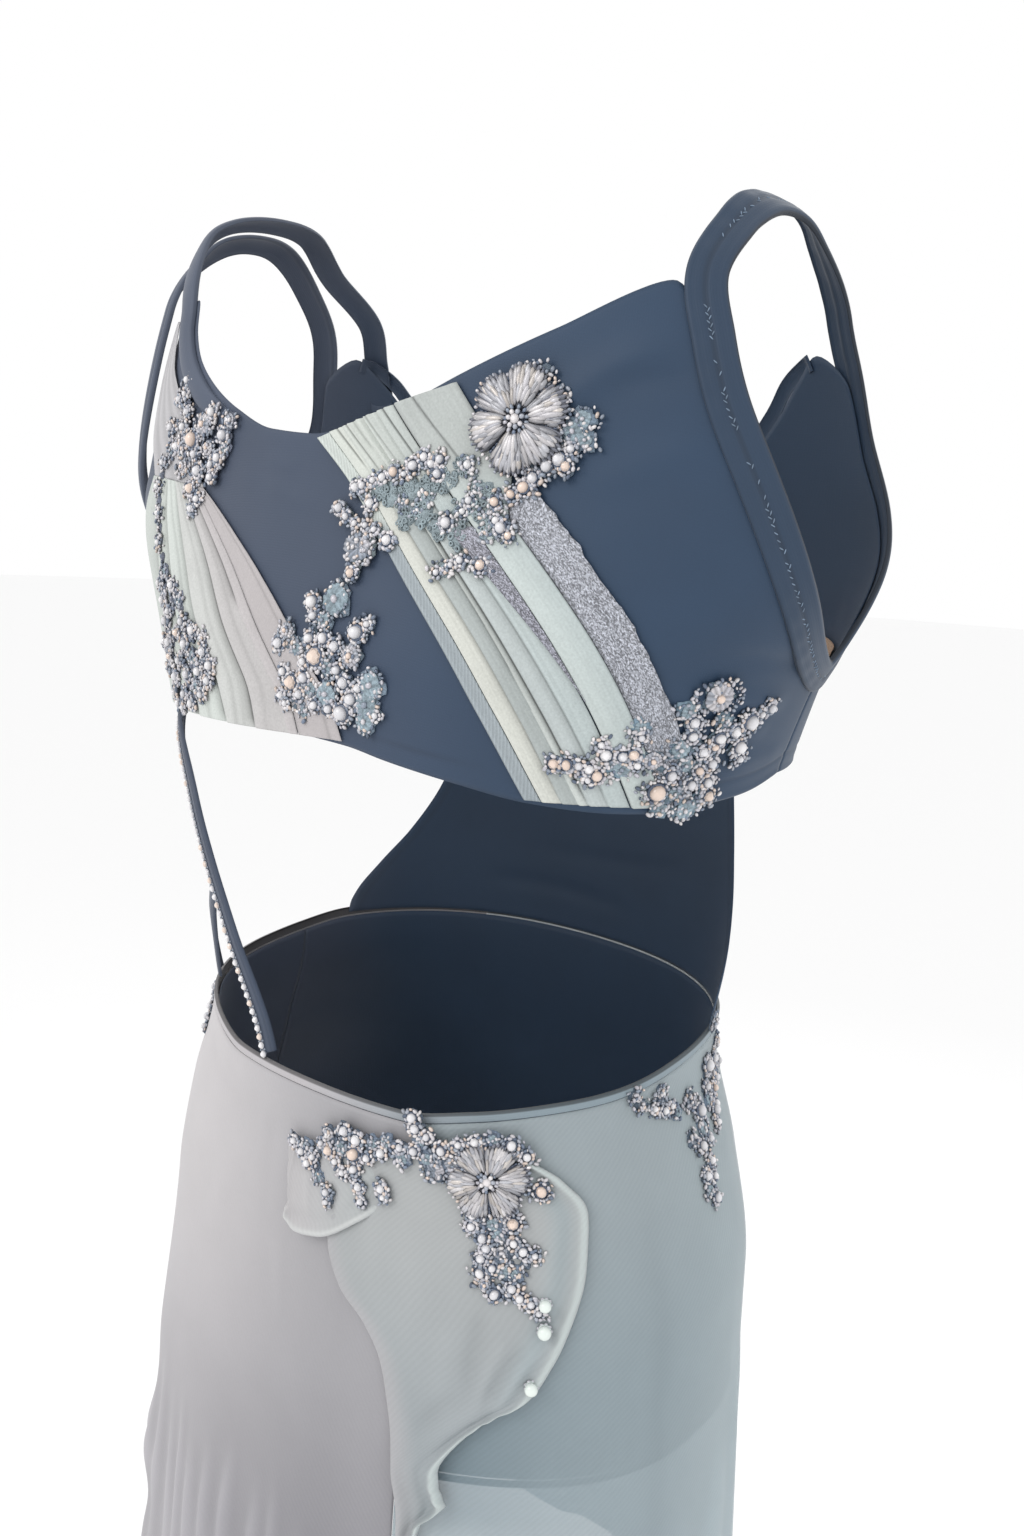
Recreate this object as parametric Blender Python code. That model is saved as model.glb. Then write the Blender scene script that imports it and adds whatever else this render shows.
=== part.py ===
"""Lyrical gymnastics leotard: strappy crop bodice joined to an open-back brief
with a sheer overskirt, worn by a standing adult small-medium figure.

Metres, +Z up.  Z = 0 is the waist seam, X = Y = 0 is the body axis.
The wearer faces -Y, so the wearer's right is -X.  Places on the garment are
given as (azimuth, height): azimuth 0 is the centre back, 90 the wearer's
right side, 180 the centre front, in degrees.
"""
import bpy
import numpy as np

for ob in list(bpy.data.objects):
    bpy.data.objects.remove(ob, do_unlink=True)

# ------------------------------------------------------------------ driving dimensions
POWER = 2.3                 # roundness of the body's cross sections
MM = 0.001

# wearer's figure: height, half width, depth behind the axis, depth in front
FIGURE = [(-0.300, 0.1546, 0.1049, 0.1150), (-0.200, 0.1563, 0.1080, 0.1140),
          (-0.100, 0.1545, 0.0935, 0.1140), (-0.050, 0.1415, 0.0912, 0.1165),
          (0.000, 0.1212, 0.0903, 0.1162),
          (0.100, 0.1409, 0.1005, 0.1197), (0.170, 0.1613, 0.1021, 0.1158),
          (0.250, 0.1957, 0.0880, 0.0900), (0.320, 0.1780, 0.0818, 0.0700),
          (0.345, 0.1550, 0.0765, 0.0580), (0.354, 0.1460, 0.0745, 0.0540),
          (0.368, 0.1120, 0.0710, 0.0460), (0.385, 0.0630, 0.0664, 0.0360)]
# surface the overskirt hangs on, draped from the waist and the seat
HANG = [(-0.400, 0.1680, 0.1200, 0.1310), (-0.300, 0.1620, 0.1150, 0.1250),
        (-0.200, 0.1585, 0.1100, 0.1200), (-0.100, 0.1563, 0.0960, 0.1185),
        (-0.050, 0.1430, 0.0925, 0.1180), (0.000, 0.1212, 0.0903, 0.1165),
        (0.100, 0.1409, 0.1005, 0.1197)]

# cloth layers, each (inside, outside) above the figure in millimetres
INSIDE = (-1.0, -0.2)        # elastics and lining
BASE = (0.8, 1.6)           # stretch body fabric
BAND = (2.5, 3.2)           # chiffon and tulle bands
SLIVER = (3.7, 4.2)
BINDING = (2.5, 4.2)        # folded bindings and straps
SPRAY = (4.9, 6.3)          # beaded applique grounds
FLOWER = (6.9, 9.7)         # raised flowers
SKIRT = (2.7, 3.4)
OVERLAY = (5.0, 5.7)        # draped overlay and what is sewn on it
FLAP = (6.5, 7.1)
OVER_SPRAY = (7.8, 9.2)
OVER_FLOWER = (9.7, 12.4)

SKIRT_HEM = -0.360
OVERLAY_TAIL = -0.300
SEAM_SIDE = 98.5            # azimuth of the side seams
SEAM_BACK = 34.0            # where the two skirt layers meet, under the overlay
FRONT_HALF = 32.0           # half azimuth of the front skirt layer
BINDING_HALF = 7.5 * MM     # half width of the armhole bindings and straps
LEG_TUBE = 1.4 * MM
AXIS_OVERLAY = 34.0         # azimuth of the overlay's fold at the waist
GAP = 0.4 * MM


# ------------------------------------------------------------------ surface helpers
def pchip(xs, ys):
    """Monotone cubic through designed points."""
    order = np.argsort(xs)
    x = np.array(xs, float)[order]
    y = np.array(ys, float)[order]
    h = np.diff(x)
    d = np.diff(y) / h
    m = np.zeros(len(x))
    m[0], m[-1] = d[0], d[-1]
    for i in range(1, len(x) - 1):
        if d[i - 1] * d[i] > 0:
            w1, w2 = 2 * h[i] + h[i - 1], h[i] + 2 * h[i - 1]
            m[i] = (w1 + w2) / (w1 / d[i - 1] + w2 / d[i])

    def f(q):
        q = np.clip(np.asarray(q, float), x[0], x[-1])
        i = np.clip(np.searchsorted(x, q) - 1, 0, len(x) - 2)
        t = (q - x[i]) / h[i]
        return ((1 + 2 * t) * (1 - t) ** 2 * y[i] + t * (1 - t) ** 2 * h[i] * m[i]
                + t * t * (3 - 2 * t) * y[i + 1] + t * t * (t - 1) * h[i] * m[i + 1])
    return f


class Body:
    def __init__(self, table):
        z = [r[0] for r in table]
        self.a = pchip(z, [r[1] for r in table])
        self.b = pchip(z, [r[2] for r in table])
        self.f = pchip(z, [r[3] for r in table])
        self.top = max(z)

    def level(self, p):
        z = min(p[2], self.top)
        depth = self.b(z) if p[1] > 0 else self.f(z)
        return (abs(p[0]) / self.a(z)) ** POWER + (abs(p[1]) / depth) ** POWER - 1

    def gradient(self, p):
        e = 1e-5
        g = np.zeros(3)
        for k in range(3):
            q = np.array(p, float)
            q[k] += e
            r = np.array(p, float)
            r[k] -= e
            g[k] = (self.level(q) - self.level(r)) / (2 * e)
        return g

    def normal(self, p):
        g = self.gradient(p)
        return g / np.linalg.norm(g)

    def on(self, azimuth, z):
        s, c = np.sin(np.radians(azimuth)), np.cos(np.radians(azimuth))
        depth = self.b(z) if c > 0 else self.f(z)
        rho = ((abs(s) / self.a(z)) ** POWER + (abs(c) / depth) ** POWER) ** (-1 / POWER)
        return np.array([-rho * s, rho * c, z])

    def at(self, azimuth, z, lift):
        p = self.on(azimuth, z)
        return p + self.normal(p) * lift * MM

    def settle(self, p):
        p = np.array(p, float)
        for _ in range(12):
            g = self.gradient(p)
            p = p - g * self.level(p) / (g @ g) * 0.8
        return p


figure = Body(FIGURE)
hang = Body(HANG)


def waist(azimuth):
    """Height of the waist seam."""
    a = abs((azimuth + 180) % 360 - 180)
    return float(WAIST(a))


WAIST = pchip([0, 30, 46, 63, 76, 98, 112, 180],
              [-0.014, -0.014, -0.009, -0.003, 0.000, 0.005, 0.008, 0.009])


def leg_line(azimuth):
    """Height of the brief's lower edge."""
    a = abs((azimuth + 180) % 360 - 180)
    return float(LEG(a))


LEG = pchip([0, 14, 26, 42, 70, 100, 140, 155, 166, 180],
            [-0.186, -0.186, -0.174, -0.161, -0.157, -0.156, -0.160, -0.174, -0.186, -0.186])


# ------------------------------------------------------------------ mesh helpers
def put(name, verts, faces, colour, rough=0.7, metal=0.0, origin=None):
    verts = np.array(verts, float)
    o = np.zeros(3) if origin is None else np.array(origin, float)
    me = bpy.data.meshes.new(name)
    me.from_pydata((verts - o).tolist(), [], [list(f) for f in faces])
    me.update()
    mat = bpy.data.materials.new(name)
    mat.use_nodes = True
    p = mat.node_tree.nodes["Principled BSDF"]
    p.inputs["Base Color"].default_value = (*colour, 1)
    p.inputs["Roughness"].default_value = rough
    p.inputs["Metallic"].default_value = metal
    me.materials.append(mat)
    ob = bpy.data.objects.new(name, me)
    ob.location = o
    bpy.context.scene.collection.objects.link(ob)
    me.shade_smooth()
    return ob


def shell(name, inner, outer, colour, closed=False, origin=None, rough=0.7, metal=0.0):
    """Closed solid between two matching grids of points [i][j]."""
    inner, outer = np.array(inner), np.array(outer)
    n, m = inner.shape[:2]
    verts = np.concatenate([inner.reshape(-1, 3), outer.reshape(-1, 3)])
    base = n * m
    faces = []
    a = lambda i, j: (i % n) * m + j
    b = lambda i, j: base + (i % n) * m + j
    last = n if closed else n - 1
    for i in range(last):
        for j in range(m - 1):
            faces.append((b(i, j), b(i + 1, j), b(i + 1, j + 1), b(i, j + 1)))
            faces.append((a(i, j), a(i, j + 1), a(i + 1, j + 1), a(i + 1, j)))
        faces.append((a(i, 0), a(i + 1, 0), b(i + 1, 0), b(i, 0)))
        faces.append((a(i + 1, m - 1), a(i, m - 1), b(i, m - 1), b(i + 1, m - 1)))
    if not closed:
        for j in range(m - 1):
            faces.append((a(0, j + 1), a(0, j), b(0, j), b(0, j + 1)))
            faces.append((a(n - 1, j), a(n - 1, j + 1), b(n - 1, j + 1), b(n - 1, j)))
    # outward check: signed volume
    v = verts
    vol = 0.0
    for f in faces:
        for k in range(1, len(f) - 1):
            vol += np.dot(v[f[0]], np.cross(v[f[k]], v[f[k + 1]]))
    if vol < 0:
        faces = [tuple(reversed(f)) for f in faces]
    return put(name, verts, faces, colour, rough, metal, origin)


def spread(knots, counts):
    """Sample designed (azimuth, height, ...) rows smoothly, counts per interval."""
    k = np.array(knots, float)
    d = np.maximum(np.hypot((k[1:, 0] - k[:-1, 0]) * 0.0021, k[1:, 1] - k[:-1, 1]), 1e-4)
    t = np.r_[0, np.cumsum(d)]
    fs = [pchip(t, k[:, c]) for c in range(k.shape[1])]
    q = []
    for i in range(len(k) - 1):
        q += list(np.linspace(t[i], t[i + 1], counts[i] + 1)[:-1])
    q.append(t[-1])
    return np.stack([f(q) for f in fs], 1)


def panel(name, low, high, rows, layer, colour, body=None, swell=None, **kw):
    """Cloth between two matching edges, each a list of (azimuth, height)."""
    body = body or figure
    levels = rows if isinstance(rows, (list, tuple)) else np.linspace(0, 1, rows + 1)
    low, high = np.array(low), np.array(high)
    inner, outer = [], []
    for (a0, z0), (a1, z1) in zip(low, high):
        ri, ro = [], []
        for t in levels:
            a, z = a0 + (a1 - a0) * t, z0 + (z1 - z0) * t
            e = swell(a, z) if swell else 0.0
            ri.append(body.at(a, z, layer[0] + e))
            ro.append(body.at(a, z, layer[1] + e))
        inner.append(ri)
        outer.append(ro)
    return shell(name, inner, outer, colour, **kw)


def curve(points, count, closed=False):
    """Evenly spaced points on a smooth curve through designed points."""
    p = np.array(points, float)
    n = len(p)
    out = []
    spans = n if closed else n - 1
    for i in range(spans):
        p0 = p[(i - 1) % n] if closed or i > 0 else 2 * p[0] - p[1]
        p1, p2 = p[i % n], p[(i + 1) % n]
        p3 = p[(i + 2) % n] if closed or i + 2 < n else 2 * p[-1] - p[-2]
        for t in np.linspace(0, 1, 24, endpoint=False):
            out.append(0.5 * (2 * p1 + (p2 - p0) * t + (2 * p0 - 5 * p1 + 4 * p2 - p3) * t * t
                              + (3 * p1 - p0 - 3 * p2 + p3) * t ** 3))
    out.append(p[0] if closed else p[-1])
    out = np.array(out)
    s = np.r_[0, np.cumsum(np.linalg.norm(np.diff(out, axis=0), axis=1))]
    q = np.linspace(0, s[-1], count + 1)
    if closed:
        q = q[:-1]
    return np.stack([np.interp(q, s, out[:, k]) for k in range(3)], 1)


def place(item, body=None):
    body = body or figure
    return body.on(*item) if len(item) == 2 else np.array(item, float)


def strip(name, items, count, half, layer, colour, closed=False, body=None, crown=0.4, **kw):
    """Flat strap or spray lying on the body; half is one width or one per knot."""
    body = body or figure
    pts = curve([place(i, body) for i in items], count, closed)
    pts = np.array([body.settle(p) for p in pts])
    n = len(pts)
    if np.isscalar(half):
        w = np.full(n, half)
    else:
        w = pchip(np.linspace(0, 1, len(half)), half)(np.linspace(0, 1, n))
    inner, outer = [], []
    for i in range(n):
        if closed:
            t = pts[(i + 1) % n] - pts[i - 1]
        else:
            t = pts[min(i + 1, n - 1)] - pts[max(i - 1, 0)]
        t /= np.linalg.norm(t)
        nn = body.normal(pts[i])
        s = np.cross(nn, t)
        s /= np.linalg.norm(s)
        ri, ro = [], []
        for k in (-1, 0, 1):
            q = body.settle(pts[i] + s * w[i] * k)
            nq = body.normal(q)
            ri.append(q + nq * layer[0] * MM)
            ro.append(q + nq * (layer[1] - (crown if k else 0)) * MM)
        inner.append(ri)
        outer.append(ro)
    return shell(name, inner, outer, colour, closed=closed, **kw)


def tube(name, pts, r, sides, colour, **kw):
    """Closed ring of round cord."""
    pts = np.array(pts)
    n = len(pts)
    tan = np.array([pts[(i + 1) % n] - pts[i - 1] for i in range(n)])
    tan /= np.linalg.norm(tan, axis=1)[:, None]
    up = np.array([0, 0, 1.0])
    frame = []
    v = np.cross(tan[0], up)
    v /= np.linalg.norm(v)
    for i in range(n):
        v = v - tan[i] * (v @ tan[i])
        v /= np.linalg.norm(v)
        frame.append(v.copy())
    end = frame[-1] - tan[0] * (frame[-1] @ tan[0])
    end /= np.linalg.norm(end)
    twist = np.arctan2(np.cross(end, frame[0]) @ tan[0], end @ frame[0])
    verts = []
    for i in range(n):
        w = np.cross(tan[i], frame[i])
        for k in range(sides):
            a = 2 * np.pi * k / sides + twist * i / n
            verts.append(pts[i] + r * (np.cos(a) * frame[i] + np.sin(a) * w))
    faces = []
    for i in range(n):
        for k in range(sides):
            j = (i + 1) % n
            faces.append((i * sides + k, i * sides + (k + 1) % sides,
                          j * sides + (k + 1) % sides, j * sides + k))
    v = np.array(verts)
    vol = sum(np.dot(v[f[0]], np.cross(v[f[1]], v[f[2]])) + np.dot(v[f[0]], np.cross(v[f[2]], v[f[3]]))
              for f in faces)
    if vol < 0:
        faces = [tuple(reversed(f)) for f in faces]
    return put(name, v, faces, colour, **kw)


def flower(name, azimuth, z, radius, petals, layer, colour, body=None, **kw):
    """Domed rosette with lobed petals."""
    body = body or figure
    c = body.on(azimuth, z)
    nn = body.normal(c)
    side = np.cross(nn, (0, 0, 1.0))
    side /= np.linalg.norm(side)
    up = np.cross(side, nn)
    n, rings = petals * 4, (0.45, 1.0)
    low, high = [body.settle(c) + nn * layer[0] * MM], [body.settle(c) + nn * (layer[1] - 0.6) * MM]
    for f in rings:
        for i in range(n):
            a = 2 * np.pi * i / n
            lobe = 0.80 + 0.20 * abs(np.cos(petals * a / 2)) ** 0.6
            q = body.settle(c + radius * f * lobe * (np.cos(a) * side + np.sin(a) * up))
            nq = body.normal(q)
            low.append(q + nq * layer[0] * MM)
            high.append(q + nq * (layer[1] if f < 1 else layer[1] - 1.4) * MM)
    m = len(low)
    faces = []
    for base, flip in ((0, True), (m, False)):
        for i in range(n):
            j = (i + 1) % n
            tri = (base, base + 1 + i, base + 1 + j)
            quad = (base + 1 + i, base + 1 + n + i, base + 1 + n + j, base + 1 + j)
            faces.append(tuple(reversed(tri)) if flip else tri)
            faces.append(tuple(reversed(quad)) if flip else quad)
    for i in range(n):
        j = (i + 1) % n
        faces.append((1 + n + i, 1 + n + j, m + 1 + n + j, m + 1 + n + i))
    v = np.array(low + high)
    vol = 0.0
    for f in faces:
        for k in range(1, len(f) - 1):
            vol += np.dot(v[f[0]] - c, np.cross(v[f[k]] - c, v[f[k + 1]] - c))
    if vol < 0:
        faces = [tuple(reversed(f)) for f in faces]
    return put(name, v, faces, colour, **kw)


def pearl(name, azimuth, z, lift, r, colour, body, **kw):
    """Round pearl with 8 meridians."""
    c = body.at(azimuth, z, lift)
    verts, faces = [c + (0, 0, r)], []
    for k in range(1, 5):
        t = np.pi * k / 5
        for i in range(8):
            a = 2 * np.pi * i / 8
            verts.append(c + r * np.array([np.sin(t) * np.cos(a), np.sin(t) * np.sin(a), np.cos(t)]))
    verts.append(c - (0, 0, r))
    last = len(verts) - 1
    for i in range(8):
        j = (i + 1) % 8
        faces.append((0, 1 + i, 1 + j))
        for k in range(3):
            faces.append((1 + 8 * k + i, 9 + 8 * k + i, 9 + 8 * k + j, 1 + 8 * k + j))
        faces.append((25 + i, last, 25 + j))
    return put(name, verts, faces, colour, **kw)


NAVY = (0.030, 0.065, 0.120)
SLATE = (0.060, 0.080, 0.125)
MINT = (0.50, 0.62, 0.60)
GLITTER = (0.28, 0.29, 0.38)
LACE = (0.42, 0.47, 0.54)
LILAC = (0.42, 0.42, 0.47)
SKY = (0.28, 0.38, 0.44)
DRAPE = (0.42, 0.50, 0.52)
PEARL = (0.72, 0.80, 0.78)
CRYSTAL = (0.75, 0.75, 0.80)

# ------------------------------------------------------------------ bodice
# (top azimuth, top height, hem azimuth) along the back, wearer's left to right
BACK = [(-98.2, 0.1770, -98.2), (-93, 0.1800, -94), (-84, 0.1960, -87), (-77, 0.2180, -80),
        (-70, 0.2340, -74), (-66.5, 0.2480, -69), (-64.5, 0.2700, -65.5), (-62.5, 0.2950, -62.5),
        (-60.5, 0.3180, -60), (-57, 0.3220, -57), (-55, 0.3080, -54), (-52.5, 0.2970, -51),
        (-46, 0.2840, -45), (-38, 0.2750, -37), (-25, 0.2670, -25), (-8, 0.2655, -9),
        (4, 0.2690, 3), (24, 0.2790, 21), (36, 0.2890, 33), (53, 0.3060, 47),
        (67.0, 0.3230, 58), (69.5, 0.3100, 62), (70.8, 0.2800, 66.5), (73.4, 0.2530, 71),
        (77.4, 0.2260, 76), (84, 0.2020, 84), (92, 0.1860, 91), (98.2, 0.1770, 98.2)]
BACK_STEPS = [1, 2, 1, 1, 1, 1, 1, 1, 1, 1, 1, 1, 1, 2, 3, 2, 3, 2, 3, 3, 1, 1, 1, 1, 1, 1, 1]
HEM = pchip([-98.5, -75, -49, -29, -13, 2, 14, 24, 40, 51, 66, 74, 80, 90, 98.5],
            [0.1400, 0.1370, 0.1400, 0.1455, 0.1460, 0.1450, 0.1440, 0.1410, 0.1360, 0.1320,
             0.1295, 0.1295, 0.1320, 0.1345, 0.1390])
back = spread(BACK, BACK_STEPS)
panel("back_bodice_panel", [(r[2], float(HEM(r[2]))) for r in back],
      [(r[0], r[1]) for r in back], 7, BASE, NAVY)

FRONT = [(98.9, 0.1770, 98.9), (101.8, 0.1850, 102), (103.6, 0.2000, 106), (105, 0.2220, 110),
         (107.4, 0.2450, 113), (109.2, 0.2700, 116), (108.8, 0.2950, 119), (112.5, 0.3080, 122),
         (117, 0.2980, 125), (122, 0.2840, 129), (131, 0.2640, 136), (145, 0.2460, 147),
         (160, 0.2340, 161), (180, 0.2300, 180)]
FRONT = FRONT + [(360 - a, z, 360 - h) for a, z, h in reversed(FRONT[:-1])]
FRONT_STEPS = [1, 1, 1, 1, 1, 1, 1, 1, 1, 2, 2, 2, 3]
front = spread(FRONT, FRONT_STEPS + FRONT_STEPS[::-1])
FRONT_HEM = pchip([98, 112, 130, 180, 230, 248, 262],
                  [0.1390, 0.1380, 0.1360, 0.1350, 0.1360, 0.1380, 0.1400])
panel("front_bodice_panel", [(r[2], float(FRONT_HEM(r[2]))) for r in front],
      [(r[0], r[1]) for r in front], 6, BASE, NAVY)

# soft lining behind the bust, above the hem elastic
az = np.linspace(106, 254, 19)
panel("bust_lining", [(a, 0.154) for a in az],
      [(a, 0.206 - 0.016 * abs(a - 180) / 74) for a in az], 2, INSIDE, (0.62, 0.46, 0.36))

# elastic inside the hem, all the way round
ring = np.linspace(-180, 180, 57)[:-1]
hem_at = lambda a: float(HEM(a)) if abs(a) < 98.5 else float(FRONT_HEM(a % 360))
panel("hem_elastic", [(a, hem_at(a) + 0.002) for a in ring],
      [(a, hem_at(a) + 0.012) for a in ring], 1, INSIDE, (0.10, 0.12, 0.16), closed=True)

# ------------------------------------------------------------------ bindings and straps
ARM = [(98, 0.1820), (91, 0.1900), (84, 0.2050), (77.8, 0.2280), (73.9, 0.2550), (71.3, 0.2810),
       (70.3, 0.3030), (70.6, 0.3260), (-0.1465, 0.0340, 0.3480), (-0.1435, 0.0100, 0.3560),
       (-0.1430, -0.0130, 0.3520), (-0.1465, -0.0330, 0.3370), (107.0, 0.3180), (108.4, 0.2980),
       (109.2, 0.2720), (107.4, 0.2460), (105.0, 0.2230), (103.4, 0.2040), (101.8, 0.1900)]
ARM_L = [(-i[0], i[1]) if len(i) == 2 else (-i[0], i[1], i[2]) for i in ARM]
strip("armhole_binding_right", ARM, 40, BINDING_HALF, BINDING, NAVY, closed=True)
strip("armhole_binding_left", ARM_L, 40, BINDING_HALF * 0.85, BINDING, SLATE, closed=True)
strip("neckline_strap_left",
      [(-30, 0.2615), (-40, 0.2690), (-48.5, 0.2790), (-54.5, 0.2920), (-57.6, 0.3060),
       (-59.5, 0.3220), (0.1250, 0.0470, 0.3440), (0.1262, 0.0260, 0.3560), (0.1268, 0.0040, 0.3610),
       (0.1268, -0.0160, 0.3560), (0.1285, -0.0320, 0.3400), (-113.5, 0.3240), (-116.0, 0.3060)],
      22, [2.5 * MM, 5 * MM, 6.3 * MM] + [6.3 * MM] * 6, BINDING, SLATE)
strip("front_neckline_binding",
      [(-119.5, 0.2960), (-124, 0.2830), (-133, 0.2630), (-146, 0.2440), (-161, 0.2330),
       (180, 0.2290), (161, 0.2330), (146, 0.2440), (133, 0.2630), (124, 0.2830), (119.0, 0.2980)],
      24, 3.5 * MM, BINDING, NAVY)

# ------------------------------------------------------------------ chiffon band A on the back
A_LEFT = [(-6.5, 0.2640), (8, 0.2460), (23, 0.2190), (35, 0.1905), (43, 0.1640), (51, 0.1335)]
A_RIGHT = [(36.5, 0.2870), (45, 0.2640), (54, 0.2380), (60.5, 0.2130), (68, 0.1800), (77, 0.1325)]
B_LEFT = [(-62.5, 0.2440), (-66, 0.2250), (-67, 0.2050), (-66, 0.1800), (-63, 0.1600), (-60, 0.1400)]
B_RIGHT = [(-44.5, 0.2400), (-31, 0.2230), (-18, 0.2070), (-6, 0.1900), (10, 0.1600), (13.5, 0.1460)]


def edges(left, right):
    t = np.linspace(0, 1, len(left))
    fl = [pchip(t, [p[k] for p in left]) for k in (0, 1)]
    fr = [pchip(t, [p[k] for p in right]) for k in (0, 1)]
    return lambda s, w: ((1 - w) * fl[0](s) + w * fr[0](s), (1 - w) * fl[1](s) + w * fr[1](s))


def band(name, weave, s0, s1, w0, w1, along, across, layer, colour):
    """Strip of a band between fractions of its length and width."""
    low, high = [], []
    for k in range(along + 1):
        s = s0 + (s1 - s0) * k / along
        a = w0(s) if callable(w0) else w0
        b = w1(s) if callable(w1) else w1
        low.append(weave(s, a))
        high.append(weave(s, b))
    panel(name, low, high, across, layer, colour)


weave_a = edges(A_LEFT, A_RIGHT)
weave_b = edges(B_LEFT, B_RIGHT)
step = lambda s, a, b: float(np.clip((s - a) / (b - a), 0, 1)) ** 2 * (3 - 2 * float(np.clip((s - a) / (b - a), 0, 1)))
pleat_edge = lambda s: 0.985 - 0.19 * step(s, 0.24, 0.40)
band("band_a_ribbed_edge", weave_a, 0.02, 1, 0.0, 0.095, 16, 1, BAND, (0.36, 0.42, 0.45))
band("band_a_chiffon", weave_a, 0.02, 1, 0.11, 0.60, 16, 5, BAND, MINT)
band("band_a_pleat", weave_a, 0.02, 1, 0.615, pleat_edge, 16, 2, BAND, MINT)
band("band_a_glitter_sliver", weave_a, 0.40, 0.76, lambda s: 0.50 + 0.20 * (s - 0.40),
     lambda s: 0.60 - 0.04 * (s - 0.40), 6, 1, SLIVER, GLITTER)
band("band_a_glitter_tulle", weave_a, 0.36, 1, lambda s: pleat_edge(s) + 0.018, 1.0, 10, 1, BAND, GLITTER)
band("band_b_chiffon", weave_b, 0, 1, 0.0, 0.80, 14, 9, BAND, MINT)
band("band_b_tulle_edge", weave_b, 0, 1, 0.815, 1.0, 14, 2, BAND, LILAC)
band("strap_mesh_insert", edges([(-61.8, 0.3130), (-64.2, 0.2850), (-66.0, 0.2640), (-66.0, 0.2510)],
                                [(-61.3, 0.3130), (-60.3, 0.2950), (-56.0, 0.2780), (-45.5, 0.2480)]),
     0, 1, 0, 1, 6, 2, BAND, LILAC)
F_LEFT = [(128, 0.2600), (146, 0.2350), (164, 0.2080), (181, 0.1760), (191, 0.1390)]
F_RIGHT = [(148, 0.2360), (164, 0.2180), (181, 0.1960), (199, 0.1660), (213, 0.1390)]
weave_f = edges(F_LEFT, F_RIGHT)
band("front_band_chiffon", weave_f, 0, 1, 0.0, 0.70, 12, 3, BAND, MINT)
band("front_band_glitter_tulle", weave_f, 0, 1, 0.735, 1.0, 12, 1, BAND, GLITTER)

# ------------------------------------------------------------------ midriff
CENTRE = [(0.0145, 68), (0.022, 66), (0.036, 60), (0.055, 52), (0.080, 45), (0.108, 40.5), (0.1335, 38)]
centre_half = pchip([c[0] for c in CENTRE], [c[1] for c in CENTRE])
low, high = [], []
for z in np.linspace(CENTRE[0][0], CENTRE[-1][0], 8):
    low.append((180 - float(centre_half(z)), z))
    high.append((180 + float(centre_half(z)), z))
panel("front_centre_panel", low, high, 10, BASE, NAVY)
JEWEL = [(-63, 0.1305), (-57, 0.1220), (-50, 0.1080), (-43.5, 0.0840), (-38.0, 0.0600),
         (-32.5, 0.0370), (-26.5, 0.0200), (-21.5, 0.0060), (-18.0, -0.0065)]
strip("jewelled_strap", JEWEL, 15, 4.4 * MM, (0.8, 1.8), NAVY, crown=0.2)
strip("forked_strap", [(-48.5, 0.0440), (-53.5, 0.0280), (-58.5, 0.0130), (-62.0, 0.0035)],
      8, 3.4 * MM, (0.8, 1.8), NAVY, crown=0.2)
shifted = [(a - 1.45, z - 0.0014) for a, z in JEWEL]
strip("strap_rhinestone_trim", shifted, 15, 1.8 * MM, (2.2, 3.8), CRYSTAL, crown=0.8)

# ------------------------------------------------------------------ brief
BRIEF_LEVELS = [0, 0.26, 0.50, 0.69, 0.83, 0.93, 1]
az = np.linspace(-SEAM_SIDE + 0.2, SEAM_SIDE - 0.2, 31)
panel("brief_back", [(a, leg_line(a)) for a in az],
      [(a, waist(a) - GAP) for a in az], BRIEF_LEVELS, BASE, NAVY)
az = np.linspace(SEAM_SIDE + 0.2, 360 - SEAM_SIDE - 0.2, 27)
panel("brief_front", [(a, leg_line(a)) for a in az],
      [(a, waist(a) - GAP) for a in az], BRIEF_LEVELS, BASE, NAVY)

GUSSET_HALF, GUSSET_DROP, GUSSET_TOP = 0.0250, 0.030, -0.1866
yb, yf = figure.b(GUSSET_TOP) + 0.8 * MM, figure.f(GUSSET_TOP) + 0.8 * MM


def saddle(t, extra):
    """Side view of the crotch strip, t = 0 behind to 1 in front."""
    y = (yb + extra) * np.cos(np.pi * t) if t < 0.5 else (yf + extra) * np.cos(np.pi * t)
    return y, GUSSET_TOP - (GUSSET_DROP + extra) * np.sin(np.pi * t)


inner, outer = [], []
for t in np.linspace(0, 1, 13):
    ri, ro = [], []
    for x in np.linspace(-GUSSET_HALF, GUSSET_HALF, 5):
        yi, zi = saddle(t, 0)
        yo, zo = saddle(t, 0.8 * MM)
        ri.append((x, yi, zi))
        ro.append((x, yo, zo))
    inner.append(ri)
    outer.append(ro)
shell("gusset", inner, outer, NAVY)

drop = LEG_TUBE + 0.9 * MM
for side, name in ((1, "leg_binding_right"), (-1, "leg_binding_left")):
    path = [figure.at(side * a, leg_line(a) - drop, 1.2) for a in np.linspace(15.5, 164.5, 30)]
    for t in np.linspace(0.96, 0.04, 13):
        y, z = saddle(t, 0.4 * MM)
        path.append(np.array([-side * (GUSSET_HALF + 2.6 * MM), y, z - 0.002]))
    tube(name, path, LEG_TUBE, 5, SLATE)

ring = np.linspace(-180, 180, 61)[:-1]
panel("waist_binding", [(a, waist(a) + GAP) for a in ring],
      [(a, waist(a) + GAP + 0.0042) for a in ring], 1, (0.8, 3.4), SLATE, closed=True)

# ------------------------------------------------------------------ overskirt


def flare(azimuth, z):
    """Folds that deepen towards the hem, in millimetres."""
    fall = step(-z, 0.10, -SKIRT_HEM)
    return fall * (5.0 + 3.5 * np.sin(np.radians(azimuth) * 11) + 1.5 * np.sin(np.radians(azimuth) * 5 + 1))


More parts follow.
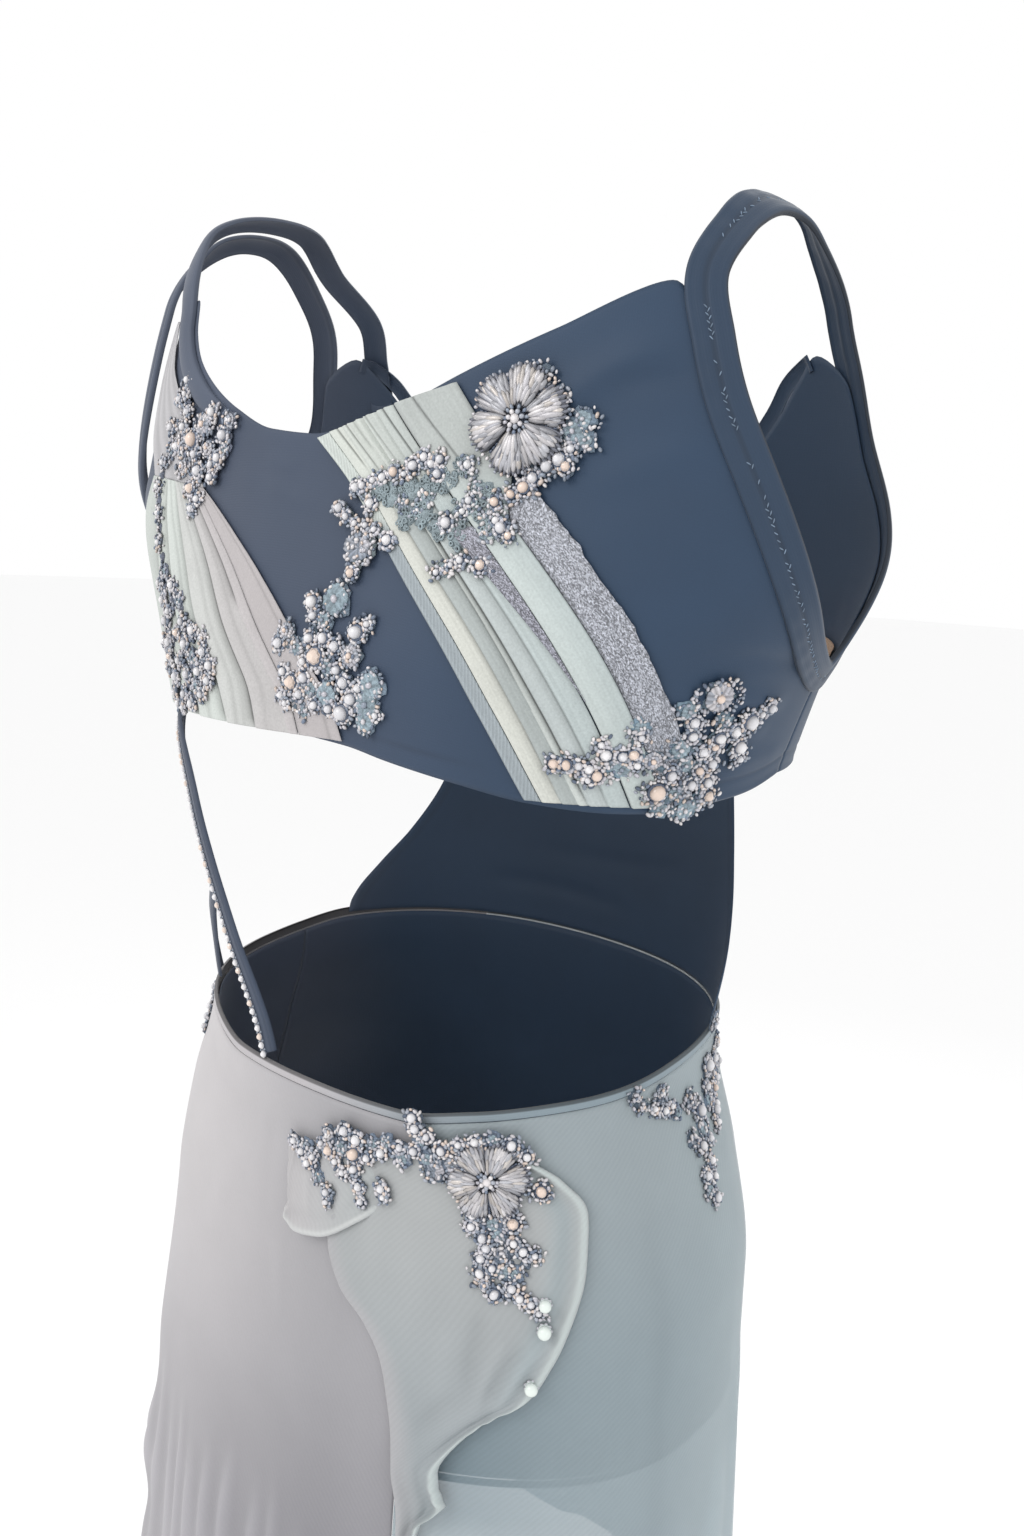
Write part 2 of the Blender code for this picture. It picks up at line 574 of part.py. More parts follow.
# rows of the skirt from hem to waist, closer together over the hip
DROP_LEVELS = [0, 0.20, 0.40, 0.57, 0.70, 0.79, 0.86, 0.915, 0.96, 1]


def skirt(name, a0, a1, count, colour, drop=0.0, **kw):
    az = np.linspace(a0, a1, count + 1)
    return panel(name, [(a, SKIRT_HEM - drop) for a in az], [(a, waist(a) - GAP) for a in az],
                 DROP_LEVELS, SKIRT, colour, body=hang, swell=flare, **kw)


skirt("skirt_right_layer", SEAM_BACK + 0.15, 180 - FRONT_HALF - 0.15, 21, SKY)
skirt("skirt_left_layer", SEAM_BACK - 0.15, -180 + FRONT_HALF + 0.15, 30, LILAC)
front_axis = np.array([0.0, -(hang.f(0.0) + 2.4 * MM), waist(180) - 0.003])
skirt("skirt_front_layer", 180 - FRONT_HALF, 180 + FRONT_HALF, 11, SKY, origin=front_axis)

# draped overlay, folded in at the waist and tapering to a cascade
O_LEFT = [(2, -0.0170), (8, -0.0480), (12, -0.0780), (17, -0.0950), (24, -0.1050), (29, -0.1180),
          (32, -0.1390), (33.2, -0.1550), (34.0, -0.1750), (33.0, -0.2100), (33.0, -0.2500),
          (34.5, OVERLAY_TAIL)]
O_RIGHT = [(54, -0.0170), (61.5, -0.0280), (65.5, -0.0420), (64.5, -0.0650), (61.5, -0.0880),
           (59, -0.1040), (56, -0.1190), (50, -0.1340), (41.5, -0.1560), (42.5, -0.1950),
           (43.0, -0.2400), (42.0, OVERLAY_TAIL)]
overlay_axis = hang.at(AXIS_OVERLAY, -0.0150, 4.5)
rows = spread([(l[0], l[1], r[0], r[1]) for l, r in zip(O_LEFT, O_RIGHT)],
              [2, 2, 1, 1, 1, 2, 1, 2, 2, 2, 2])
panel("drape_overlay", [(r[0], r[1]) for r in rows], [(r[2], r[3]) for r in rows], 8,
      OVERLAY, DRAPE, body=hang, swell=flare, origin=overlay_axis)
FL_TOP = [(-7, -0.0240), (2, -0.0230), (12, -0.0220), (22, -0.0210), (31, -0.0200)]
FL_LOW = [(-5, -0.0760), (1, -0.0790), (9, -0.0760), (22, -0.0610), (31, -0.0460)]
ft, fb = spread(FL_TOP, [2, 2, 2, 2]), spread(FL_LOW, [2, 2, 2, 2])
panel("scalloped_flap", fb, ft, 3, FLAP, DRAPE, body=hang, swell=flare, origin=overlay_axis)

# ------------------------------------------------------------------ beaded appliques
w = lambda *v: [x * MM for x in v]
strip("applique_back_left", [(37.5, 0.2610), (28, 0.2520), (18, 0.2480), (7, 0.2440)], 10,
      w(3, 8, 7, 7, 4), SPRAY, LACE)
strip("applique_back_lower", [(46, 0.2500), (40, 0.2360), (28, 0.2270), (13.5, 0.2120)], 10,
      w(3, 9, 9, 6, 4), SPRAY, LACE)
strip("applique_back_right", [(51, 0.2560), (55, 0.2600), (58.5, 0.2700), (59.5, 0.2820)], 7,
      w(3, 7, 7, 4), SPRAY, LACE)
flower("flower_back", 46, 0.2755, 20 * MM, 6, FLOWER, CRYSTAL)
strip("applique_left_strap", [(-61.5, 0.2920), (-57, 0.2740), (-52.5, 0.2540), (-50, 0.2300)], 9,
      w(4, 13, 19, 17, 7), SPRAY, LACE)
strip("applique_left_side", [(-65, 0.2220), (-62.5, 0.2020), (-58, 0.1800), (-54, 0.1600), (-51, 0.1440)], 10,
      w(4, 8, 13, 15, 7), SPRAY, LACE)
strip("applique_centre_back", [(1, 0.2110), (3, 0.1960), (6, 0.1760), (10, 0.1520)], 9,
      w(6, 18, 23, 20, 8), SPRAY, LACE)
strip("applique_underarm", [(54, 0.1500), (63, 0.1470), (72, 0.1500), (80, 0.1620), (88, 0.1760)], 11,
      w(3, 6, 14, 14, 9, 3), SPRAY, LACE)
strip("applique_front_bust", [(125, 0.2480), (138, 0.2300), (150, 0.2160), (160, 0.1950)], 10,
      w(4, 11, 15, 11, 4), SPRAY, LACE)
flower("flower_front", 144, 0.2230, 18 * MM, 6, FLOWER, CRYSTAL)
strip("applique_front_left_bust", [(204, 0.1560), (214, 0.1620), (226, 0.1760), (235, 0.1960)], 9,
      w(4, 10, 11, 7, 3), SPRAY, LACE)

strip("applique_waist_back", [(-6, -0.0400), (5, -0.0370), (16, -0.0320), (28, -0.0290), (38, -0.0270)], 13,
      w(6, 13, 12, 8, 7, 5), OVER_SPRAY, LACE, body=hang, origin=overlay_axis)
strip("applique_drape", [(48, -0.0430), (48.5, -0.0580), (51, -0.0740), (56, -0.0860)], 9,
      w(4, 9, 9, 8, 4), OVER_SPRAY, LACE, body=hang, origin=overlay_axis)
flower("flower_waist", 48.5, -0.0330, 16.5 * MM, 6, OVER_FLOWER, CRYSTAL, body=hang, origin=overlay_axis)
for k, (a, z) in enumerate(((59.0, -0.0835), (58.5, -0.0945), (56.5, -0.1125)), 1):
    pearl("pearl_%d" % k, a, z, 9.4, 2.9 * MM, PEARL, hang, origin=overlay_axis)
strip("applique_hip_right", [(77, 0.0000 - 0.004), (86, -0.0100), (96, -0.0190), (101, -0.0360), (100, -0.0560)], 11,
      w(3, 7, 9, 9, 3), SPRAY, LACE, body=hang)
strip("applique_hip_front", [(113, -0.0040), (109, -0.0140), (107, -0.0250)], 6, w(4, 8, 4),
      SPRAY, LACE, body=hang)
strip("applique_hip_left", [(-64, -0.0060), (-62.5, -0.0160), (-61, -0.0270)], 6, w(3, 6, 3),
      SPRAY, LACE, body=hang)
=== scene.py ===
"""Lyrical gymnastics leotard, visual model: every cloth, strap, flower and bead
is rebuilt in fine detail on the surface that the CAD pieces lie on.

Places on the garment are (azimuth in degrees, height in metres): azimuth 0 is
the centre back, 90 the wearer's right side, 180 the centre front.
"""
import bpy
import numpy as np
from mathutils import Matrix


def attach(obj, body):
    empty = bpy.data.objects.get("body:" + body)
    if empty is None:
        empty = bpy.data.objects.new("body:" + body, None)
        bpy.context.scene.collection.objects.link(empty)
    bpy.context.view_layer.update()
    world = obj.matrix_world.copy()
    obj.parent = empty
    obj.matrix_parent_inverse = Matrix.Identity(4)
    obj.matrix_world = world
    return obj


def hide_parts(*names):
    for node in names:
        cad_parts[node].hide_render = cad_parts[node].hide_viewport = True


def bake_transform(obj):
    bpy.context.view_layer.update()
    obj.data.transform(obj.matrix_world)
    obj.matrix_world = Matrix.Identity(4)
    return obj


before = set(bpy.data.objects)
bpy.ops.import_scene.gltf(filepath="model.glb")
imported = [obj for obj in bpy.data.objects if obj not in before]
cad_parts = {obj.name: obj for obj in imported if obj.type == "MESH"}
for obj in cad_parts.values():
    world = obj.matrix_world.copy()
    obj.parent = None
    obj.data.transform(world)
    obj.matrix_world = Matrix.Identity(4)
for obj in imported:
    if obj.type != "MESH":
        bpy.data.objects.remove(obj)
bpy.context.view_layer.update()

MM = 0.001
POWER = 2.3
FIGURE = [(-0.300, 0.1480, 0.1049, 0.1130), (-0.200, 0.1495, 0.1080, 0.1115),
          (-0.100, 0.1490, 0.0935, 0.1115), (-0.050, 0.1355, 0.0912, 0.1150),
          (0.000, 0.1212, 0.0903, 0.1162),
          (0.100, 0.1409, 0.1005, 0.1197), (0.170, 0.1613, 0.1021, 0.1158),
          (0.250, 0.1957, 0.0880, 0.0900), (0.320, 0.1780, 0.0818, 0.0700),
          (0.345, 0.1550, 0.0765, 0.0580), (0.354, 0.1460, 0.0745, 0.0540),
          (0.368, 0.1120, 0.0710, 0.0460), (0.385, 0.0630, 0.0664, 0.0360)]
HANG = [(-0.400, 0.1600, 0.1200, 0.1260), (-0.300, 0.1510, 0.1150, 0.1200),
        (-0.200, 0.1512, 0.1100, 0.1160), (-0.100, 0.1502, 0.0960, 0.1150),
        (-0.050, 0.1375, 0.0925, 0.1170), (0.000, 0.1212, 0.0903, 0.1165),
        (0.100, 0.1409, 0.1005, 0.1197)]
SKIRT_HEM = -0.360
OVERLAY_TAIL = -0.300
SEAM_SIDE = 98.5
SEAM_BACK = 34.0
FRONT_HALF = 32.0
BINDING_HALF = 7.5 * MM


# ------------------------------------------------------------------ numbers
def pchip(xs, ys):
    order = np.argsort(xs)
    x = np.array(xs, float)[order]
    y = np.array(ys, float)[order]
    h = np.diff(x)
    d = np.diff(y) / h
    m = np.zeros(len(x))
    m[0], m[-1] = d[0], d[-1]
    for i in range(1, len(x) - 1):
        if d[i - 1] * d[i] > 0:
            w1, w2 = 2 * h[i] + h[i - 1], h[i] + 2 * h[i - 1]
            m[i] = (w1 + w2) / (w1 / d[i - 1] + w2 / d[i])

    def f(q):
        q = np.clip(np.asarray(q, float), x[0], x[-1])
        i = np.clip(np.searchsorted(x, q) - 1, 0, len(x) - 2)
        t = (q - x[i]) / h[i]
        return ((1 + 2 * t) * (1 - t) ** 2 * y[i] + t * (1 - t) ** 2 * h[i] * m[i]
                + t * t * (3 - 2 * t) * y[i + 1] + t * t * (t - 1) * h[i] * m[i + 1])
    return f


def step(q, a, b):
    t = np.clip((np.asarray(q, float) - a) / (b - a), 0, 1)
    return t * t * (3 - 2 * t)


def bell(q, c, w):
    return np.exp(-((np.asarray(q, float) - c) / w) ** 2)


def half_turn(a):
    return (np.asarray(a, float) + 180) % 360 - 180


def colour(code):
    v = np.array([int(code[i:i + 2], 16) / 255 for i in (1, 3, 5)])
    return np.where(v <= 0.04045, v / 12.92, ((v + 0.055) / 1.055) ** 2.4)


def mix(a, b, t):
    t = np.asarray(t, float)[..., None]
    return np.asarray(a, float) * (1 - t) + np.asarray(b, float) * t


class Field:
    """Smooth seeded noise on the plane, used for cloth that isn't perfectly even."""

    def __init__(self, seed):
        self.g = np.random.default_rng(seed).uniform(-1, 1, (64, 64))

    def __call__(self, x, y):
        x, y = np.asarray(x, float), np.asarray(y, float)
        i, j = np.floor(x).astype(int), np.floor(y).astype(int)
        u, v = x - i, y - j
        u, v = u * u * (3 - 2 * u), v * v * (3 - 2 * v)
        g = lambda p, q: self.g[p % 64, q % 64]
        return ((g(i, j) * (1 - u) + g(i + 1, j) * u) * (1 - v)
                + (g(i, j + 1) * (1 - u) + g(i + 1, j + 1) * u) * v)


uneven = Field(7)


class Body:
    def __init__(self, table):
        z = [r[0] for r in table]
        self.a = pchip(z, [r[1] for r in table])
        self.b = pchip(z, [r[2] for r in table])
        self.f = pchip(z, [r[3] for r in table])
        self.top = max(z)

    def level(self, p):
        z = np.minimum(p[..., 2], self.top)
        depth = np.where(p[..., 1] > 0, self.b(z), self.f(z))
        return (np.abs(p[..., 0]) / self.a(z)) ** POWER + (np.abs(p[..., 1]) / depth) ** POWER - 1

    def gradient(self, p):
        e = 1e-5
        g = np.zeros(p.shape)
        for k in range(3):
            q = np.array(p, float)
            q[..., k] += e
            r = np.array(p, float)
            r[..., k] -= e
            g[..., k] = (self.level(q) - self.level(r)) / (2 * e)
        return g

    def normal(self, p):
        g = self.gradient(np.asarray(p, float))
        return g / np.linalg.norm(g, axis=-1, keepdims=True)

    def on(self, azimuth, z):
        azimuth, z = np.broadcast_arrays(np.asarray(azimuth, float), np.asarray(z, float))
        s, c = np.sin(np.radians(azimuth)), np.cos(np.radians(azimuth))
        depth = np.where(c > 0, self.b(z), self.f(z))
        rho = ((np.abs(s) / self.a(z)) ** POWER + (np.abs(c) / depth) ** POWER) ** (-1 / POWER)
        return np.stack([-rho * s, rho * c, z], -1)

    def settle(self, p):
        p = np.array(p, float)
        for _ in range(12):
            g = self.gradient(p)
            p = p - g * (self.level(p) / (g * g).sum(-1) * 0.8)[..., None]
        return p


figure = Body(FIGURE)
hang = Body(HANG)
WAIST = pchip([0, 30, 46, 63, 76, 98, 112, 180],
              [-0.014, -0.014, -0.009, -0.003, 0.000, 0.005, 0.008, 0.009])
LEG = pchip([0, 14, 26, 42, 70, 100, 140, 155, 166, 180],
            [-0.186, -0.186, -0.174, -0.161, -0.157, -0.156, -0.160, -0.174, -0.186, -0.186])


def waist(a):
    return WAIST(np.abs(half_turn(a)))


def leg_line(a):
    return LEG(np.abs(half_turn(a)))


def curve(points, count, closed=False):
    p = np.array(points, float)
    n = len(p)
    out = []
    for i in range(n if closed else n - 1):
        p0 = p[(i - 1) % n] if closed or i > 0 else 2 * p[0] - p[1]
        p1, p2 = p[i % n], p[(i + 1) % n]
        p3 = p[(i + 2) % n] if closed or i + 2 < n else 2 * p[-1] - p[-2]
        t = np.linspace(0, 1, 24, endpoint=False)[:, None]
        out.append(0.5 * (2 * p1 + (p2 - p0) * t + (2 * p0 - 5 * p1 + 4 * p2 - p3) * t * t
                          + (3 * p1 - p0 - 3 * p2 + p3) * t ** 3))
    out.append((p[0] if closed else p[-1])[None])
    out = np.concatenate(out)
    s = np.r_[0, np.cumsum(np.linalg.norm(np.diff(out, axis=0), axis=1))]
    q = np.linspace(0, s[-1], count + 1)
    if closed:
        q = q[:-1]
    return np.stack([np.interp(q, s, out[:, k]) for k in range(3)], 1)


def spread(knots, count):
    """Even samples along designed rows of numbers."""
    k = np.array(knots, float)
    d = np.maximum(np.hypot((k[1:, 0] - k[:-1, 0]) * 0.0021, k[1:, 1] - k[:-1, 1]), 1e-4)
    t = np.r_[0, np.cumsum(d)]
    q = np.linspace(0, t[-1], count)
    return np.stack([pchip(t, k[:, c])(q) for c in range(k.shape[1])], 1)


def edges(left, right):
    t = np.linspace(0, 1, len(left))
    fl = [pchip(t, [p[k] for p in left]) for k in (0, 1)]
    fr = [pchip(t, [p[k] for p in right]) for k in (0, 1)]
    return lambda s, w: ((1 - w) * fl[0](s) + w * fr[0](s), (1 - w) * fl[1](s) + w * fr[1](s))


def ridges(az, z, lines):
    """Soft creases: (az0, z0, az1, z1, width mm, height mm), faded at both ends."""
    x, y = np.asarray(az, float) * 2.1, np.asarray(z, float) * 1000
    h = np.zeros(np.broadcast(x, y).shape)
    for a0, z0, a1, z1, wide, high in lines:
        p, q = np.array([a0 * 2.1, z0 * 1000]), np.array([a1 * 2.1, z1 * 1000])
        d = q - p
        n = np.hypot(*d)
        t = ((x - p[0]) * d[0] + (y - p[1]) * d[1]) / n ** 2
        s = ((x - p[0]) * -d[1] + (y - p[1]) * d[0]) / n
        s = s + 0.03 * n * np.sin(3 * np.clip(t, 0, 1))
        h += high * np.exp(-(s / wide) ** 2) * step(t, -0.08, 0.25) * (1 - step(t, 0.6, 1.08))
    return h


# ------------------------------------------------------------------ meshes
class Soup:
    """Many small meshes gathered into one piece, with a tint per point."""

    def __init__(self):
        self.V, self.T, self.U, self.F, self.n = [], [], [], [], 0

    def add(self, V, faces, mat=0, tint=(1, 1, 1), uv=None, smooth=True):
        V = np.asarray(V, float).reshape(-1, 3)
        self.V.append(V)
        self.T.append(np.broadcast_to(np.asarray(tint, float).reshape(-1, 3), (len(V), 3)))
        self.U.append(np.zeros((len(V), 2)) if uv is None else np.asarray(uv, float).reshape(-1, 2))
        for f in faces:
            if len(f):
                self.F.append((np.asarray(f) + self.n, mat, smooth))
        self.n += len(V)

    def make(self, name, mats):
        me = bpy.data.meshes.new(name)
        V = np.concatenate(self.V)
        T = np.clip(np.concatenate(self.T), 0, 1)
        U = np.concatenate(self.U)
        loops = np.concatenate([f.ravel() for f, _, _ in self.F]).astype(np.int32)
        sizes = np.concatenate([np.full(len(f), f.shape[1]) for f, _, _ in self.F])
        starts = np.r_[0, np.cumsum(sizes)[:-1]].astype(np.int32)
        mat = np.concatenate([np.full(len(f), m) for f, m, _ in self.F]).astype(np.int32)
        soft = np.concatenate([np.full(len(f), s) for f, _, s in self.F])
        me.vertices.add(len(V))
        me.vertices.foreach_set("co", V.astype(np.float32).ravel())
        me.loops.add(len(loops))
        me.loops.foreach_set("vertex_index", loops)
        me.polygons.add(len(sizes))
        me.polygons.foreach_set("loop_start", starts)
        me.polygons.foreach_set("material_index", mat)
        for m in mats:
            me.materials.append(m)
        me.update(calc_edges=True)
        me.polygons.foreach_set("use_smooth", soft)
        uv = me.uv_layers.new(name="cloth")
        uv.data.foreach_set("uv", U[loops].astype(np.float32).ravel())
        at = me.attributes.new("tint", "FLOAT_COLOR", "POINT")
        at.data.foreach_set("color", np.c_[T, np.ones(len(T))].astype(np.float32).ravel())
        me.update()
        ob = bpy.data.objects.new(name, me)
        bpy.context.scene.collection.objects.link(ob)
        return ob


def shell(soup, P, N, thick, mat=0, tint=(1, 1, 1), closed=False, under=0.8, across=False):
    """Closed thin solid below a grid of points, its edges rounded over."""
    n, m = P.shape[:2]
    thick = np.broadcast_to(np.asarray(thick, float), (n, m))[..., None] * MM
    O, I = P.copy(), P - N * thick
    for edge in ((slice(None), 0), (slice(None), m - 1)):
        O[edge] = P[edge] - (N * thick)[edge] * 0.3
        I[edge] = P[edge] - (N * thick)[edge] * 0.7
    if not closed:
        for edge in ((0, slice(None)), (n - 1, slice(None))):
            O[edge] = P[edge] - (N * thick)[edge] * 0.3
            I[edge] = P[edge] - (N * thick)[edge] * 0.7
    last = n if closed else n - 1
    i, j = np.arange(last)[:, None], np.arange(m - 1)[None, :]
    a, b = (i % n) * m + j, ((i + 1) % n) * m + j
    outer = np.stack([a, b, b + 1, a + 1], -1).reshape(-1, 4)
    k = n * m
    walls = []
    a0, b0 = (np.arange(last) % n) * m, ((np.arange(last) + 1) % n) * m
    walls.append(np.stack([b0, a0, a0 + k, b0 + k], -1))
    walls.append(np.stack([a0 + m - 1, b0 + m - 1, b0 + m - 1 + k, a0 + m - 1 + k], -1))
    if not closed:
        c = np.arange(m - 1)
        walls.append(np.stack([c, c + 1, c + 1 + k, c + k], -1))
        c = (n - 1) * m + np.arange(m - 1)
        walls.append(np.stack([c + 1, c, c + k, c + 1 + k], -1))
    faces = [outer, outer[:, ::-1] + k] + walls
    mi, mj = n // 2, m // 2
    e = np.cross(P[(mi + 1) % n, mj] - P[mi, mj], P[mi, min(mj + 1, m - 1)] - P[mi, mj]) \
        if mj + 1 < m else np.cross(P[(mi + 1) % n, mj - 1] - P[mi, mj - 1], P[mi, mj] - P[mi, mj - 1])
    if e @ N[mi, mj] < 0:
        faces = [f[:, ::-1] for f in faces]
    u = np.zeros((n, m))
    v = np.zeros((n, m))
    du = np.linalg.norm(np.diff(P, axis=0), axis=2).mean(1)
    u += np.r_[0, np.cumsum(du)][:, None]
    v[:, 1:] = np.cumsum(np.linalg.norm(np.diff(P, axis=1), axis=2), axis=1)
    uv = np.stack([u, v], -1)
    tint = np.broadcast_to(np.asarray(tint, float), (n, m, 3))
    # the inner face is painted darker by the factor under: painted shade
    soup.add(np.concatenate([O.reshape(-1, 3), I.reshape(-1, 3)]), faces, mat,
             np.concatenate([tint.reshape(-1, 3), tint.reshape(-1, 3) * under]),
             np.concatenate([uv.reshape(-1, 2), uv.reshape(-1, 2)]))


def cloth(name, az, z, lift, thick, mats, tint, body=None, closed=False, under=0.8):
    body = body or figure
    P0 = body.on(az, z)
    N = body.normal(P0)
    P = P0 + N * np.asarray(lift, float)[..., None] * MM
    s = Soup()
    shell(s, P, N, thick, 0, tint, closed, under)
    return s.make(name, mats)


def place(item, body):
    return body.on(*item) if len(item) == 2 else np.array(item, float)


def path(items, count, body, closed=False):
    """Points, directions and normals along a strap that lies on the body."""
    p = body.settle(curve([place(i, body) for i in items], count, closed))
    if closed:
        t = np.roll(p, -1, 0) - np.roll(p, 1, 0)
    else:
        t = np.gradient(p, axis=0)
    t /= np.linalg.norm(t, axis=1)[:, None]
    nn = body.normal(p)
    s = np.cross(nn, t)
    s /= np.linalg.norm(s, axis=1)[:, None]
    return p, t, nn, s


def ribbon(soup, items, count, half, lift, thick, tint, closed=False, body=None, mat=0, cols=13, under=0.8):
    """Strap: half width may vary along it, lift(along, k) is its profile in mm."""
    body = body or figure
    p, t, nn, s = path(items, count, body, closed)
    n = len(p)
    u = np.arange(n) / (n - (0 if closed else 1))
    w = np.full(n, half) if np.isscalar(half) else half(u)
    # closer rows near both edges
    k = np.sin(np.linspace(-np.pi / 2, np.pi / 2, cols))
    q = body.settle(p[:, None] + s[:, None] * (w[:, None] * k[None])[..., None])
    N = body.normal(q)
    uu, kk = np.broadcast_arrays(u[:, None], k[None])
    P = q + N * lift(uu, kk)[..., None] * MM
    T = tint(uu, kk, q) if callable(tint) else tint
    shell(soup, P, N, thick(uu, kk) if callable(thick) else thick, mat, T, closed, under)
    return p, t, nn, s


# small templates: points with unit radius on z >= 0 or round, faces, and height 0..1 for shading
def ball(n=10, m=6, low=-0.6):
    zs = np.linspace(low, 1, m)
    V, F = [], []
    for zz in zs[:-1]:
        r = np.sqrt(max(0, 1 - zz * zz))
        a = 2 * np.pi * np.arange(n) / n
        V.append(np.stack([r * np.cos(a), r * np.sin(a), np.full(n, zz)], 1))
    V.append(np.array([[0, 0, 1.0]]))
    V.append(np.array([[0, 0, low]]))
    V = np.concatenate(V)
    q, t = [], []
    for k in range(m - 2):
        for i in range(n):
            j = (i + 1) % n
            q.append((k * n + i, k * n + j, (k + 1) * n + j, (k + 1) * n + i))
    top, bot = n * (m - 1), n * (m - 1) + 1
    for i in range(n):
        j = (i + 1) % n
        t.append(((m - 2) * n + i, (m - 2) * n + j, top))
        t.append((j, i, bot))
    return V, [np.array(q), np.array(t)], (V[:, 2] - low) / (1 - low)


def stone(n=8):
    """Faceted rhinestone in a low round setting."""
    a = 2 * np.pi * np.arange(n) / n
    b = a + np.pi / n
    rows = [np.stack([1.05 * np.cos(a), 1.05 * np.sin(a), np.full(n, -0.35)], 1),
            np.stack([1.12 * np.cos(a), 1.12 * np.sin(a), np.full(n, 0.12)], 1),
            np.stack([0.96 * np.cos(b), 0.96 * np.sin(b), np.full(n, 0.22)], 1),
            np.stack([0.86 * np.cos(a), 0.86 * np.sin(a), np.full(n, 0.42)], 1),
            np.stack([0.48 * np.cos(b), 0.48 * np.sin(b), np.full(n, 0.78)], 1)]
    V = np.concatenate(rows + [np.array([[0, 0, 0.80]]), np.array([[0, 0, -0.35]])])
    q, t = [], []
    for i in range(n):
        j = (i + 1) % n
        q.append((i, j, n + j, n + i))
        t += [(n + i, n + j, 2 * n + i), (n + j, 2 * n + j, 2 * n + i)]
        t += [(2 * n + i, 3 * n + j, 3 * n + i), (2 * n + i, 2 * n + j, 3 * n + j)]
        t += [(3 * n + i, 3 * n + j, 4 * n + i), (3 * n + j, 4 * n + j, 4 * n + i)]
        t += [(4 * n + i, 4 * n + j, 5 * n)]
        t += [(j, i, 5 * n + 1)]
    h = np.r_[np.full(n, 0.1), np.full(n, 0.55), np.full(n, 0.35), np.full(n, 0.8), np.full(n, 1.0), 1.0, 0]
    return V, [np.array(q), np.array(t)], h


def loop(n=14, m=6, tube=0.34):
    """Round of corded thread."""
    V, F = [], []
    for i in range(n):
        a = 2 * np.pi * i / n
        for k in range(m):
            b = 2 * np.pi * k / m
            r = 1 - tube + tube * np.cos(b)
            V.append((r * np.cos(a), r * np.sin(a), tube * np.sin(b) + 0.12 * (-1) ** i * 0.4))
            F.append((i * m + k, ((i + 1) % n) * m + k, ((i + 1) % n) * m + (k + 1) % m, i * m + (k + 1) % m))
    V = np.array(V)
    return V, [np.array(F)], np.clip(V[:, 2] / tube * 0.5 + 0.5, 0, 1)


def petal(n=15, m=7, ribs=5):
    """Domed petal from x = 0 to 1, ribbed along its length, heart shaped at the tip."""
    V, h = [], []
    for j in range(m):
        t = j / (m - 1)
        for i in range(n):
            k = -1 + 2 * i / (n - 1)
            wide = 0.16 + 0.42 * np.sin(np.pi * min(t, 1) * 0.62) ** 1.1
            x = t * (1 - 0.20 * abs(k) ** 2.2 + 0.03 * np.cos(ribs * np.pi * k)) - (0.07 * bell(k, 0, 0.16) if j == m - 1 else 0)
            rib = 0.5 + 0.5 * np.cos(ribs * np.pi * k)
            dome = np.sqrt(max(0, 1 - k * k)) * np.sin(np.pi * np.clip(0.12 + 0.82 * t, 0, 1)) ** 0.6
            V.append((x, wide * k, 0.26 * dome + 0.085 * rib * (0.3 + 0.7 * t) * (1 - abs(k) ** 6)))
            h.append(0.18 + 0.62 * rib * (1 - 0.3 * abs(k)) + 0.20 * t)
    V = np.array(V)
    base = V.copy()
    base[:, 2] = -0.06
    k = n * m
    f = []
    for j in range(m - 1):
        for i in range(n - 1):
            a = j * n + i
            f += [(a, a + n, a + n + 1, a + 1), (k + a, k + a + 1, k + a + n + 1, k + a + n)]
    for j in range(m - 1):
        a, b = j * n, j * n + n - 1
        f += [(a, k + a, k + a + n, a + n), (b, b + n, k + b + n, k + b)]
    for i in range(n - 1):
        a, b = i, (m - 1) * n + i
        f += [(a, a + 1, k + a + 1, k + a), (b, k + b, k + b + 1, b + 1)]
    f = np.array(f)
    e = np.cross(V[f[0, 1]] - V[f[0, 0]], V[f[0, 2]] - V[f[0, 0]])
    if e[2] < 0:
        f = f[:, ::-1]
    return np.concatenate([V, base]), [f], np.r_[h, np.full(k, 0.1)]


SEED, BEAD, STONE, LOOP, PETAL = ball(8, 5), ball(12, 7), stone(), loop(), petal()
LEAF = petal(13, 6, 3)


def scatter(soup, template, C, N, size, angle, tints, mat=0, low=0.35, smooth=True):
    """Puts copies of a template on the cloth: size is (k, 3) radii in mm."""
    V, faces, h = template
    C, N = np.asarray(C, float).reshape(-1, 3), np.asarray(N, float).reshape(-1, 3)
    k = len(C)
    if not k:
        return
    size = np.broadcast_to(np.asarray(size, float), (k, 3)) * MM
    angle = np.broadcast_to(np.asarray(angle, float), (k,))
    tints = np.broadcast_to(np.asarray(tints, float), (k, 3))
    side = np.cross(np.array([0, 0, 1.0]), N)
    side /= np.linalg.norm(side, axis=1)[:, None] + 1e-9
    up = np.cross(N, side)
    ca, sa = np.cos(angle)[:, None], np.sin(angle)[:, None]
    e1, e2 = side * ca + up * sa, -side * sa + up * ca
    P = (C[:, None] + e1[:, None] * (V[None, :, 0] * size[:, None, 0])[..., None]
         + e2[:, None] * (V[None, :, 1] * size[:, None, 1])[..., None]
         + N[:, None] * (V[None, :, 2] * size[:, None, 2])[..., None])
    # painted shade: each copy is darker towards its base, in the grooves of its template and on some of its facets,
    # down to the factor low
    shade = low + (1 - low) * h
    T = tints[:, None] * shade[None, :, None]
    off = np.arange(k) * len(V)
    soup.add(P.reshape(-1, 3), [(f[None] + off[:, None, None]).reshape(-1, f.shape[1]) for f in faces],
             mat, T.reshape(-1, 3), None, smooth)


